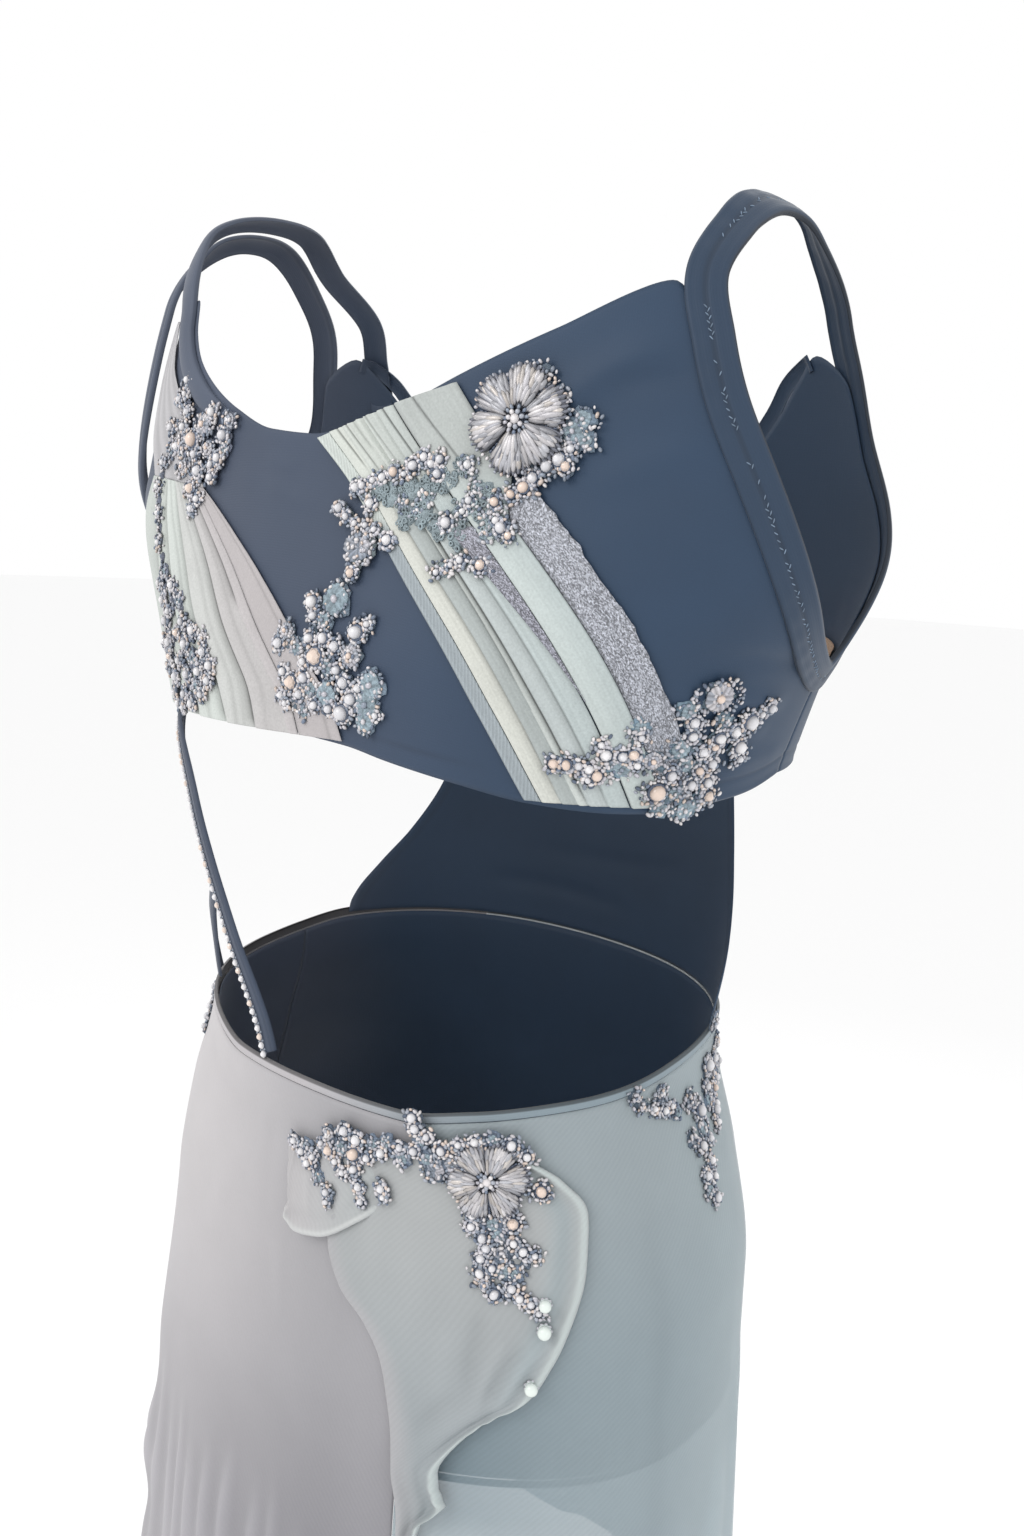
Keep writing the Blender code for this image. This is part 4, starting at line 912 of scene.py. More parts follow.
chiffon_b = band("band_b_chiffon_cloth", "band_b_chiffon", weave_b, 0, 1, 0.0, 0.812, 200, 120, [CHIFFON], shape_b)
# painted shade: darker in the groove beside the rolled edge and along the seam with the chiffon
border_b = band("band_b_tulle_edge_cloth", "band_b_tulle_edge", weave_b, 0, 1, 0.818, 1.0, 160, 24, [TULLE],
     lambda s, w: (3.1 + 0.35 * bell(w, 0.985, 0.02) - 0.2 * bell(w, 0.955, 0.012), np.broadcast_to(colour("#c0bbbc"), s.shape + (3,))
                   * (1 - 0.22 * bell(w, 0.953, 0.008) - 0.30 * bell(w, 0.818, 0.008))[..., None]))
# painted light and shade: lighter on the crests of the ripples and darker in their troughs
mesh_insert = band("strap_mesh_insert_cloth", "strap_mesh_insert",
     edges([(-61.8, 0.3130), (-64.2, 0.2850), (-65.0, 0.2640), (-62.5, 0.2440)],
           [(-61.3, 0.3130), (-60.3, 0.2950), (-56.0, 0.2780), (-44.6, 0.2400)]),
     0, 1, 0, 1, 70, 36, [TULLE],
     lambda s, w: (3.2 + 0.25 * np.sin(w * 26) * (1 - w), np.broadcast_to(colour("#bdbcbf"), s.shape + (3,))
                   * (1 + 0.10 * np.sin(w * 26))[..., None]))


def shape_f(s, w):
    return pleats(s, w, [wave(0, 1, -0.01), wave(0.01, 4, 0.14), wave(0.01, 4, 0.30), wave(0.01, 4, 0.46), wave(0, 4, 0.72)],
                  ["#b9c8c6", "#cdd9d4", "#bac9c7", "#c2d0cc"], [3.6, 4.0, 3.8, 3.8], 2.75,
                  [(0, 0, 1), (0.6, 0, 1), (0.4, 0, 0.7), (0.6, 0, 1)], 0.014)


chiffon_f = band("front_band_chiffon_cloth", "front_band_chiffon", weave_f, 0, 1, 0.0, 0.705, 180, 70, [CHIFFON], shape_f)
band("front_band_glitter_tulle_cloth", "front_band_glitter_tulle", weave_f, 0, 1, 0.735,
     lambda s: 1.0 + 0.014 * uneven(s * 26, 8.3), 150, 17, [GLITTER],
     lambda s, w: (3.1 + 0.3 * bell(w, 0.985, 0.03), np.broadcast_to(colour("#a5a8b1"), s.shape + (3,)) * 1.0))

# ------------------------------------------------------------------ midriff
CENTRE = [(0.0095, 68.5), (0.0145, 68), (0.022, 66), (0.036, 60), (0.055, 52), (0.080, 45), (0.108, 40.5), (0.1335, 38), (0.1370, 37.7)]
zc = np.linspace(0.0100, 0.1366, 92)
ch = pchip([c[0] for c in CENTRE], [c[1] for c in CENTRE])(zc)
z, k = np.meshgrid(zc, np.linspace(-1, 1, 90), indexing="ij")
az = 180 + ch[:, None] * k
lift = 1.65 - 0.95 * step(z, 0.1325, 0.1356) + 0.5 * bell(np.abs(k), 0.985, 0.02) * (1 - step(z, 0.1300, 0.1340)) * step(z, 0.013, 0.017) + ridges(az, z, [(150, 0.06, 205, 0.052, 5, 0.5), (148, 0.09, 196, 0.082, 5, 0.5),
                                                               (214, 0.030, 165, 0.026, 5, 0.6)])
# painted shade: darker line just inside the raised side edges
centre = cloth("front_centre_panel_cloth", az, z, lift, 0.85, [KNIT],
               navy(az, z) * (1 - 0.15 * bell(np.abs(k), 0.955, 0.008))[..., None])
keep(centre, "front_centre_panel")

JEWEL = [(-73.5, 0.1452), (-69.0, 0.1388), (-63, 0.1305), (-57, 0.1220), (-50, 0.1080), (-43.5, 0.0840), (-38.0, 0.0600),
         (-32.5, 0.0370), (-26.5, 0.0200), (-21.5, 0.0060), (-18.0, -0.0065)]
FORK = [(-40.5, 0.0640), (-44.0, 0.0545), (-48.5, 0.0440), (-53.5, 0.0280), (-58.5, 0.0130), (-62.0, 0.0035)]
s = Soup()
strap_roll = lambda u, k: 1.2 + 1.5 * np.sqrt(np.clip(1 - k ** 4, 0, 1)) - 0.35 * bell(np.abs(k), 0.72, 0.07)
# strap_tint: painted shade in the grooves near both edges, on the dips of strap_roll
strap_tint = lambda u, k, q: navy(azimuth(q), q[..., 2], 0.9) * (1 - 0.3 * bell(np.abs(k), 0.72, 0.05))[..., None]
ribbon(s, JEWEL, 216, 4.4 * MM, lambda u, k: strap_roll(u, k) - 2.9 * (1 - step(u, 0.02, 0.085)), 1.2, strap_tint, cols=23)
keep(s.make("jewelled_strap_cloth", [BINDING]), "jewelled_strap")
s = Soup()
ribbon(s, FORK, 90, 3.4 * MM, strap_roll, 1.2, strap_tint, cols=19)
keep(s.make("forked_strap_cloth", [BINDING]), "forked_strap")

# ------------------------------------------------------------------ brief
def tube(soup, pts, r, sides, tint, mat=0):
    n = len(pts)
    tan = np.roll(pts, -1, 0) - np.roll(pts, 1, 0)
    tan /= np.linalg.norm(tan, axis=1)[:, None]
    f = []
    v = np.cross(tan[0], (0, 0, 1.0))
    for i in range(n):
        v = v - tan[i] * (v @ tan[i])
        v /= np.linalg.norm(v)
        f.append(v.copy())
    f = np.array(f)
    end = f[-1] - tan[0] * (f[-1] @ tan[0])
    end /= np.linalg.norm(end)
    twist = np.arctan2(np.cross(end, f[0]) @ tan[0], end @ f[0])
    a = 2 * np.pi * np.arange(sides)[None] / sides + (twist * np.arange(n) / n)[:, None]
    w = np.cross(tan, f)
    P = pts[:, None] + r * (np.cos(a)[..., None] * f[:, None] + np.sin(a)[..., None] * w[:, None])
    i, k = np.meshgrid(np.arange(n), np.arange(sides), indexing="ij")
    j, l = (i + 1) % n, (k + 1) % sides
    q = np.stack([i * sides + k, i * sides + l, j * sides + l, j * sides + k], -1).reshape(-1, 4)
    V = P.reshape(-1, 3)
    vol = (V[q[:, 0]] * np.cross(V[q[:, 1]], V[q[:, 2]])).sum() + (V[q[:, 0]] * np.cross(V[q[:, 2]], V[q[:, 3]])).sum()
    soup.add(V, [q[:, ::-1] if vol < 0 else q], mat, tint)


def level_grid(a0, a1, n, low, high, m):
    az, t = np.meshgrid(np.linspace(a0, a1, n), np.linspace(0, 1, m), indexing="ij")
    return az, low(az) + (high(az) - low(az)) * t, t


az, z, t = level_grid(-SEAM_SIDE + 0.06, SEAM_SIDE - 0.06, 200, leg_line, lambda a: waist(a) - 0.0004, 60)
brief_pull = ridges(az, z, [(20, -0.150, 44, -0.120, 7, 0.8), (-20, -0.150, -44, -0.120, 7, 0.8), (0, -0.17, 0, -0.10, 6, -1.0)])
# painted shade: darker line in the groove 7 mm above the leg line
brief_b = cloth("brief_back_cloth", az, z, 1.6 + brief_pull - 0.35 * bell((z - leg_line(az)) * 1000, 7, 1.2), 0.85, [KNIT],
                navy(az, z, 0.95) * (1 - 0.15 * bell((z - leg_line(az)) * 1000, 7, 0.8))[..., None])
keep(brief_b, "brief_back")
az, z, t = level_grid(SEAM_SIDE + 0.06, 360 - SEAM_SIDE - 0.06, 180, leg_line, lambda a: waist(a) - 0.0004, 60)
# painted shade: darker line in the groove 7 mm above the leg line
brief_f = cloth("brief_front_cloth", az, z, 1.6 - 0.35 * bell((z - leg_line(az)) * 1000, 7, 1.2), 0.85, [KNIT],
                navy(az, z, 0.95) * (1 - 0.15 * bell((z - leg_line(az)) * 1000, 7, 0.8))[..., None])
keep(brief_f, "brief_front")

GUSSET_HALF, GUSSET_DROP, GUSSET_TOP = 0.0250, 0.030, -0.1866
yb, yf = float(figure.b(GUSSET_TOP)) + 0.8 * MM, float(figure.f(GUSSET_TOP)) + 0.8 * MM


def saddle(t, extra):
    t = np.asarray(t, float)
    y = np.where(t < 0.5, yb + extra, yf + extra) * np.cos(np.pi * t)
    return y, GUSSET_TOP - (GUSSET_DROP + extra) * np.sin(np.pi * t)


t, x = np.meshgrid(np.linspace(0, 1, 110), np.linspace(-GUSSET_HALF, GUSSET_HALF, 24), indexing="ij")
y0, z0 = saddle(t, 0)
y1, z1 = saddle(t, 0.85 * MM)
P, Q = np.stack([x, y1, z1], -1), np.stack([x, y0, z0], -1)
N = (P - Q) / np.linalg.norm(P - Q, axis=-1, keepdims=True)
s = Soup()
shell(s, P, N, 0.8, 0, navy(azimuth(P), P[..., 2], 0.9) * (1 - 0.2 * bell(np.abs(x), 0.019, 0.0006))[..., None])
gusset = s.make("gusset_cloth", [KNIT])
keep(gusset, "gusset")

drop = 1.4 * MM + 0.9 * MM
for side, word in ((1, "right"), (-1, "left")):
    a = np.linspace(15.5, 164.5, 30)
    p0 = figure.on(side * a, leg_line(a) - drop)
    p = [q for q in p0 + figure.normal(p0) * 1.2 * MM]
    for t in np.linspace(0.96, 0.04, 13):
        y, zz = saddle(t, 0.4 * MM)
        p.append(np.array([-side * (GUSSET_HALF + 2.6 * MM), float(y), float(zz) - 0.002]))
    pts = curve(p, 260, closed=True)
    s = Soup()
    twist = np.arange(260)
    tone = navy(azimuth(pts), pts[:, 2], 0.70) * (1 + 0.12 * (twist % 2))[:, None]
    tube(s, pts, 1.45 * MM, 10, np.repeat(tone, 10, 0))
    keep(s.make("leg_binding_%s_cloth" % word, [BINDING]), "leg_binding_" + word)

# ------------------------------------------------------------------ waist
az, t = np.meshgrid(np.linspace(-180, 180, 361)[:-1], np.linspace(0, 1, 15), indexing="ij")
z = waist(az) + 0.0003 + 0.0043 * t
turned = 2.9 + 0.7 * np.sqrt(np.clip(1 - (2 * t - 1) ** 6, 0, 1))
turn = np.mod(az, 360)
side = np.where(turn < 212, step(turn, -10, 60), 0.0)
T = mix(colour("#b5b2b5"), colour("#84939c"), side)
# painted shade: the upper part of the rolled binding is darkened, and its inner face is painted very dark by under=0.16
T = T * (1 - 0.72 * step(t, 0.70, 0.86))[..., None]
binding = cloth("waist_binding_cloth", az, z, turned, 1.6, [BINDING], T, closed=True, under=0.16)
keep(binding, "waist_binding")


# ------------------------------------------------------------------ overskirt
def flare(az, z):
    fall = step(-z, 0.10, -SKIRT_HEM)
    return fall * (3.6 + 3.0 * np.sin(np.radians(az) * 11) + 1.4 * np.sin(np.radians(az) * 5 + 1))


def gathers(az, z, lines):
    """Vertical folds that open towards the hem: (azimuth, first height, width deg, height mm)."""
    h = np.zeros(np.broadcast(az, z).shape)
    for a, top, wide, high in lines:
        centre = a + 1.2 * np.sin((z - top) * 30 + a)
        h += high * step(top - z, 0.0, 0.052) * bell(az, centre, wide * (1 + 0.5 * step(top - z, 0.03, 0.16)))
    return h


LEFT_FOLDS = [(-63, -0.120, 2.6, 2.4), (-55, -0.142, 2.4, 2.0), (-48, -0.128, 2.2, 2.3), (-41, -0.140, 2.4, 2.2),
              (-34.5, -0.132, 2.0, 2.4), (-27, -0.142, 2.6, 2.6), (-19.5, -0.134, 2.0, 2.4), (-12.5, -0.128, 2.2, 2.6),
              (-4, -0.136, 2.8, 2.6), (4.5, -0.130, 2.2, 2.4), (12.5, -0.140, 2.6, 2.2), (21, -0.150, 3.0, 2.0)]
LEFT_FOLDS = [(a, zz - 0.052, w, h * 1.25) for a, zz, w, h in LEFT_FOLDS]
LEFT_FOLDS += [(-72 - 8.5 * k, -0.14 - 0.03 * ((k * 7) % 5) / 5, 2.6, 2.0) for k in range(9)]
RIGHT_FOLDS = [(50, -0.235, 4, 1.8), (62, -0.225, 4, 2.0), (75, -0.215, 3.5, 2.2), (87, -0.190, 3, 2.0), (97, -0.16, 3, 2.2),
               (106, -0.13, 2.6, 2.2), (115, -0.12, 2.6, 2.2), (124, -0.13, 2.8, 2.2), (133, -0.12, 2.6, 2.2), (142, -0.13, 2.6, 2.2)]
FRONT_FOLDS = [(152 + 8.2 * k, -0.10 - 0.02 * (k % 3), 2.6, 2.2) for k in range(8)]


def skirt_tint(az, z):
    a = half_turn(az)
    right = mix(colour("#aeb9be"), colour("#a2b1b8"), step(-z, 0.02, 0.13))
    right = mix(right, colour("#7f929c"), 0.85 * (a > 0) * (1 - step(a, 38, 74)) * step(-z, 0.05, 0.15) * (1 - step(-z, 0.172, 0.190)))
    right = mix(right, colour("#b9c6cb"), 0.6 * bell(a, 100, 13))
    # left layer: its lilac-grey is painted lighter on the wearer's left side and at the top and darker towards the back
    # seam and lower down: painted light and shade
    left = mix(colour("#bebbbd"), colour("#a09fa3"), step(a, -52, 22))
    low = mix(colour("#a9a7ac"), colour("#8d8c92"), step(a, -52, 22))
    left = mix(left, low, step(-z, 0.06, 0.26))
    return left, right


def skirt(name, node, a0, a1, n, folds, mats, pick, shape=None):
    az, t = np.meshgrid(np.linspace(a0, a1, n), np.linspace(0, 1, 140), indexing="ij")
    top = waist(az) + 0.0002
    z = SKIRT_HEM + (top - SKIRT_HEM) * t
    extra = gathers(az, z, folds)
    if shape:
        extra = extra + shape(az, z)
    lift = 3.4 + flare(az, z) + extra + 0.5 * bell(t, 0.004, 0.004)
    # painted light and shade: darker in the hollows between the gathers low down, lighter on their crests
    T = pick(az, z) * (1 - 0.10 * step(1.2 - extra, 0, 2.4) * step(-z, 0.13, 0.2) + 0.03 * np.clip(extra, -1, 3))[..., None]
    ob = cloth(name, az, z, lift, 0.6, mats, T, body=hang, under=0.9)
    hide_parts(node)
    return ob


def left_shape(az, z):
    notch = 3.8 * bell(z, -0.256, 0.016) * bell(az, -64, 13) - 2.6 * bell(z, -0.288, 0.016) * bell(az, -64, 13)
    notch = notch - 1.3 * step(-z, 0.05, 0.09) * (1 - step(az, 10, 30)) - 1.8 * step(-z, 0.18, 0.22) * bell(az, -64, 26)
    waves = ridges(az, z, [(-45, -0.012, -8, -0.026, 3.5, 0.6), (-50, -0.020, -18, -0.040, 4.5, -0.5),
                           (-30, -0.060, -38, -0.120, 9, 0.8), (-8, -0.085, -4, -0.130, 6, 0.8),
                           (-12, -0.030, -14, -0.090, 6, -0.5)])
    return notch + waves


# painted shade: a faint darker line along the fold at azimuth 79
right = skirt("skirt_right_cloth", "skirt_right_layer", SEAM_BACK + 0.06, 180 - FRONT_HALF - 0.06, 230, RIGHT_FOLDS,
              [SHEER], lambda a, z: skirt_tint(a, z)[1] * (1 - 0.05 * bell(a, 79, 2.2) * step(-z, 0.03, 0.08))[..., None],
              lambda az, z: ridges(az, z, [(82, -0.030, 74, -0.120, 5, -0.35), (60, -0.03, 66, -0.09, 6, 0.5)]))
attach(right, "leotard")
left = skirt("skirt_left_cloth", "skirt_left_layer", SEAM_BACK - 0.06, -180 + FRONT_HALF + 0.08, 330, LEFT_FOLDS,
             [SKIRT], lambda a, z: skirt_tint(a, z)[0], left_shape)
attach(left, "leotard")
front = skirt("skirt_front_cloth", "skirt_front_layer", 180 - FRONT_HALF, 180 + FRONT_HALF, 130, FRONT_FOLDS,
              [SHEER], lambda a, z: skirt_tint(a, z)[1])
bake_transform(front)

# ------------------------------------------------------------------ draped overlay
O_LEFT = [(9, -0.0300), (10, -0.0480), (12, -0.0780), (17, -0.0950), (24, -0.1050), (29, -0.1180),
          (32, -0.1390), (33.6, -0.1550), (34.2, -0.1640), (34.8, -0.1690), (35.6, -0.1790), (35.8, -0.1920),
          (35.4, -0.2400), (35.6, OVERLAY_TAIL)]
O_RIGHT = [(56, -0.0200), (63.2, -0.0300), (67.2, -0.0440), (66.4, -0.0660), (63.6, -0.0890),
           (61, -0.1050), (57.6, -0.1200), (50, -0.1340), (43.0, -0.1560), (43.6, -0.1640), (44.6, -0.1690), (40.4, -0.1790),
           (39.4, -0.1920), (39.6, -0.2400), (39.0, OVERLAY_TAIL)]
rows = spread([(l[0], l[1], r[0], r[1]) for l, r in zip(O_LEFT, O_RIGHT)], 230)
w = np.linspace(0, 1, 110)[None]
az = rows[:, 0:1] + (rows[:, 2:3] - rows[:, 0:1]) * w
z = rows[:, 1:2] + (rows[:, 3:4] - rows[:, 1:2]) * w
low = step(-z, 0.140, 0.170)
width_mm = (rows[:, 2:3] - rows[:, 0:1]) * 2.1
from_right = (1 - w) * width_mm
lip = 1.9 * bell(from_right, 2.2, 1.7) - 0.55 * bell(from_right, 7.0, 2.6)
folds = ridges(az, z, [(60.5, -0.092, 52, -0.132, 2.6, 1.5), (57.0, -0.096, 50, -0.130, 2.2, -1.0), (54.0, -0.094, 49, -0.128, 2.6, 1.3),
                       (50.5, -0.082, 47.5, -0.124, 3.2, -1.3), (44, -0.090, 44, -0.140, 6.0, 1.0),
                       (36, -0.060, 38, -0.130, 9.0, 0.8), (24, -0.050, 33, -0.120, 8.0, 0.6),
                       (62.5, -0.040, 60, -0.085, 3.4, 0.8), (57.0, -0.050, 56.5, -0.080, 3.0, -0.6),
                       (52, -0.122, 40, -0.150, 3.5, 1.2), (46, -0.122, 37, -0.148, 3.2, -0.9)])
tail = low * (1.3 + 1.3 * np.cos(w * 2 * np.pi * 1.2 + 0.6 + 6 * z) + 0.5 * np.cos(w * 2 * np.pi * 2.4 + 40 * z))
rag = 0.9 * step(-z, 0.118, 0.128) * (1 - step(-z, 0.172, 0.182)) * bell(from_right, 1.5, 2.6) * np.sin(z * 620 + 3 * np.sin(z * 190))
root = -1.9 * (1 - step(w * width_mm, 0, 11)) * (1 - step(-z, 0.040, 0.070))
pinch = 1.8 * bell(z, -0.157, 0.010) * bell(w, 0.62, 0.5)
lift = 5.9 + flare(az, z) + gathers(az, z, [(21, -0.150, 3.0, 1.0)]) + lip + folds + tail + pinch + rag + root
T = mix(colour("#a6a9aa"), colour("#959ca0"), step(-z, 0.03, 0.16))
T = mix(T, colour("#8f999c"), step(-z, 0.16, 0.2))
T = mix(T, colour("#aaa9ac"), (1 - step(w * width_mm, 0, 12)) * 0.8)
# painted shade in the dip beside the rolled right edge, a painted highlight on the rolled edge itself, and the folds
# painted lighter on their crests and darker in their hollows
T = mix(T, colour("#98a3a7"), 0.8 * bell(from_right, 9.0, 5.0) * (1 - step(-z, 0.10, 0.14)))
T = mix(T, colour("#c2cccb"), 0.85 * bell(from_right, 1.6, 1.5) + 0 * z)
T = T * (1 + 0.045 * np.clip(folds, -2, 2))[..., None]
drape = cloth("drape_overlay_cloth", az, z, lift, 0.6, [SATIN], T, body=hang, under=0.92)
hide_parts("drape_overlay")
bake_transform(drape)

FL_TOP = [(-6, -0.0400), (2, -0.0360), (12, -0.0330), (22, -0.0310), (31, -0.0300)]
FL_LOW = [(-4, -0.0728), (1, -0.0785), (9, -0.0760), (22, -0.0610), (31, -0.0460)]
ft, fb = spread(FL_TOP, 120), spread(FL_LOW, 120)
t = np.linspace(0, 1, 60)[None]
az = fb[:, 0:1] + (ft[:, 0:1] - fb[:, 0:1]) * t
z = fb[:, 1:2] + (ft[:, 1:2] - fb[:, 1:2]) * t
up_mm = t * np.abs(ft[:, 1:2] - fb[:, 1:2]) * 1000
in_mm = (az - fb[0, 0]) * 1.6
lip = 1.7 * bell(up_mm, 1.8, 2.0) * step(31 - az, 0, 12) + 0.9 * bell(in_mm, 1.5, 1.6)
dip = -0.9 * bell(up_mm, 7.0, 4.0) * step(31 - az, 0, 12)
sink = -3.2 * step(az, 21, 31) - 2.2 * (1 - step(in_mm, 0, 2.5))
lift = 7.1 + flare(az, z) + lip + dip + sink * (1 - step(t, 0.75, 1.0)) - (1.2 + 1.9 * (1 - step(az, 2, 9))) * step(t, 0.55, 1)
lift = lift + ridges(az, z, [(4, -0.046, 6, -0.072, 3.0, 0.8), (14, -0.048, 13, -0.070, 3.2, -0.7)])
T = mix(colour("#b3b1b3"), colour("#abb0b1"), step(az, -5, 28))
# painted highlight on the raised lip at the lower edge
T = mix(T, colour("#cbcecd"), 0.7 * bell(up_mm, 1.5, 1.5) * step(31 - az, 0, 10) + 0 * az)
flap = cloth("scalloped_flap_cloth", az, z, np.maximum(lift, 4.2), 0.6, [SATIN], T, body=hang, under=0.92)
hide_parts("scalloped_flap")
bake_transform(flap)


# ------------------------------------------------------------------ beads and flowers
THREADS = [colour(c) for c in ("#dedbdf", "#cbcad2", "#b1b6c1", "#959fae", "#ebe7e8", "#e4d3c8", "#78859a", "#5c687c")]
BEAD_MATS = [THREAD, CRYSTAL, GLASS, GROUND, SILVER, PEARL]


def settle_down(body, C, N, P, base):
    """Bends a flat motif onto the body: keeps each point's height above the cloth."""
    C, N = C[:, None], N[:, None]
    h = ((P - C) * N).sum(-1, keepdims=True)
    flatp = P - N * h
    q = body.settle(flatp)
    return q + body.normal(q) * (h + base * MM)


def scatter_on(soup, body, template, az, z, base, size, angle, tints, mat=0, low=0.35, smooth=True):
    """Scatter whose copies are bent to the body; base is the cloth's height in mm."""
    q = body.on(np.atleast_1d(az), np.atleast_1d(z))
    N = body.normal(q)
    keep_n = soup.n
    scatter(soup, template, q, N, size, angle, tints, mat, low, smooth)
    V = soup.V[-1].reshape(len(q), -1, 3)
    soup.V[-1] = settle_down(body, q, N, V, base).reshape(-1, 3)


def mound(rings=4, n=22, seed=1):
    """Low lobed pad of tulle with a soft frilled edge."""
    r = np.random.default_rng(seed)
    a = 2 * np.pi * np.arange(n) / n
    edge = 1 + 0.12 * np.sin(a * 3 + r.uniform(0, 6)) + 0.09 * np.sin(a * 5 + r.uniform(0, 6)) + 0.05 * np.cos(a * n / 2)
    V, h = [np.array([[0, 0, 1.0]])], [np.array([1.0])]
    for k in range(1, rings + 1):
        f = k / rings
        hh = (1 - f ** 2.2) + (0.12 * np.cos(a * n / 2) if k > 1 else 0)
        V.append(np.stack([f * edge * np.cos(a), f * edge * np.sin(a), hh + 0 * a], 1))
        h.append(np.full(n, 1 - 0.55 * f))
    V.append(np.stack([edge * np.cos(a), edge * np.sin(a), np.full(n, -0.55)], 1))
    h.append(np.full(n, 0.3))
    V.append(np.array([[0, 0, -0.55]]))
    h.append(np.array([0.3]))
    V, h = np.concatenate(V), np.concatenate(h)
    q, t = [], []
    for i in range(n):
        j = (i + 1) % n
        t.append((0, 1 + i, 1 + j))
        for k in range(rings):
            q.append((1 + k * n + i, 1 + (k + 1) * n + i, 1 + (k + 1) * n + j, 1 + k * n + j))
        t.append((1 + rings * n + j, 1 + rings * n + i, 1 + (rings + 1) * n))
    return V, [np.array(q), np.array(t)], h


MOUNDS = [mound(seed=k) for k in range(4)]


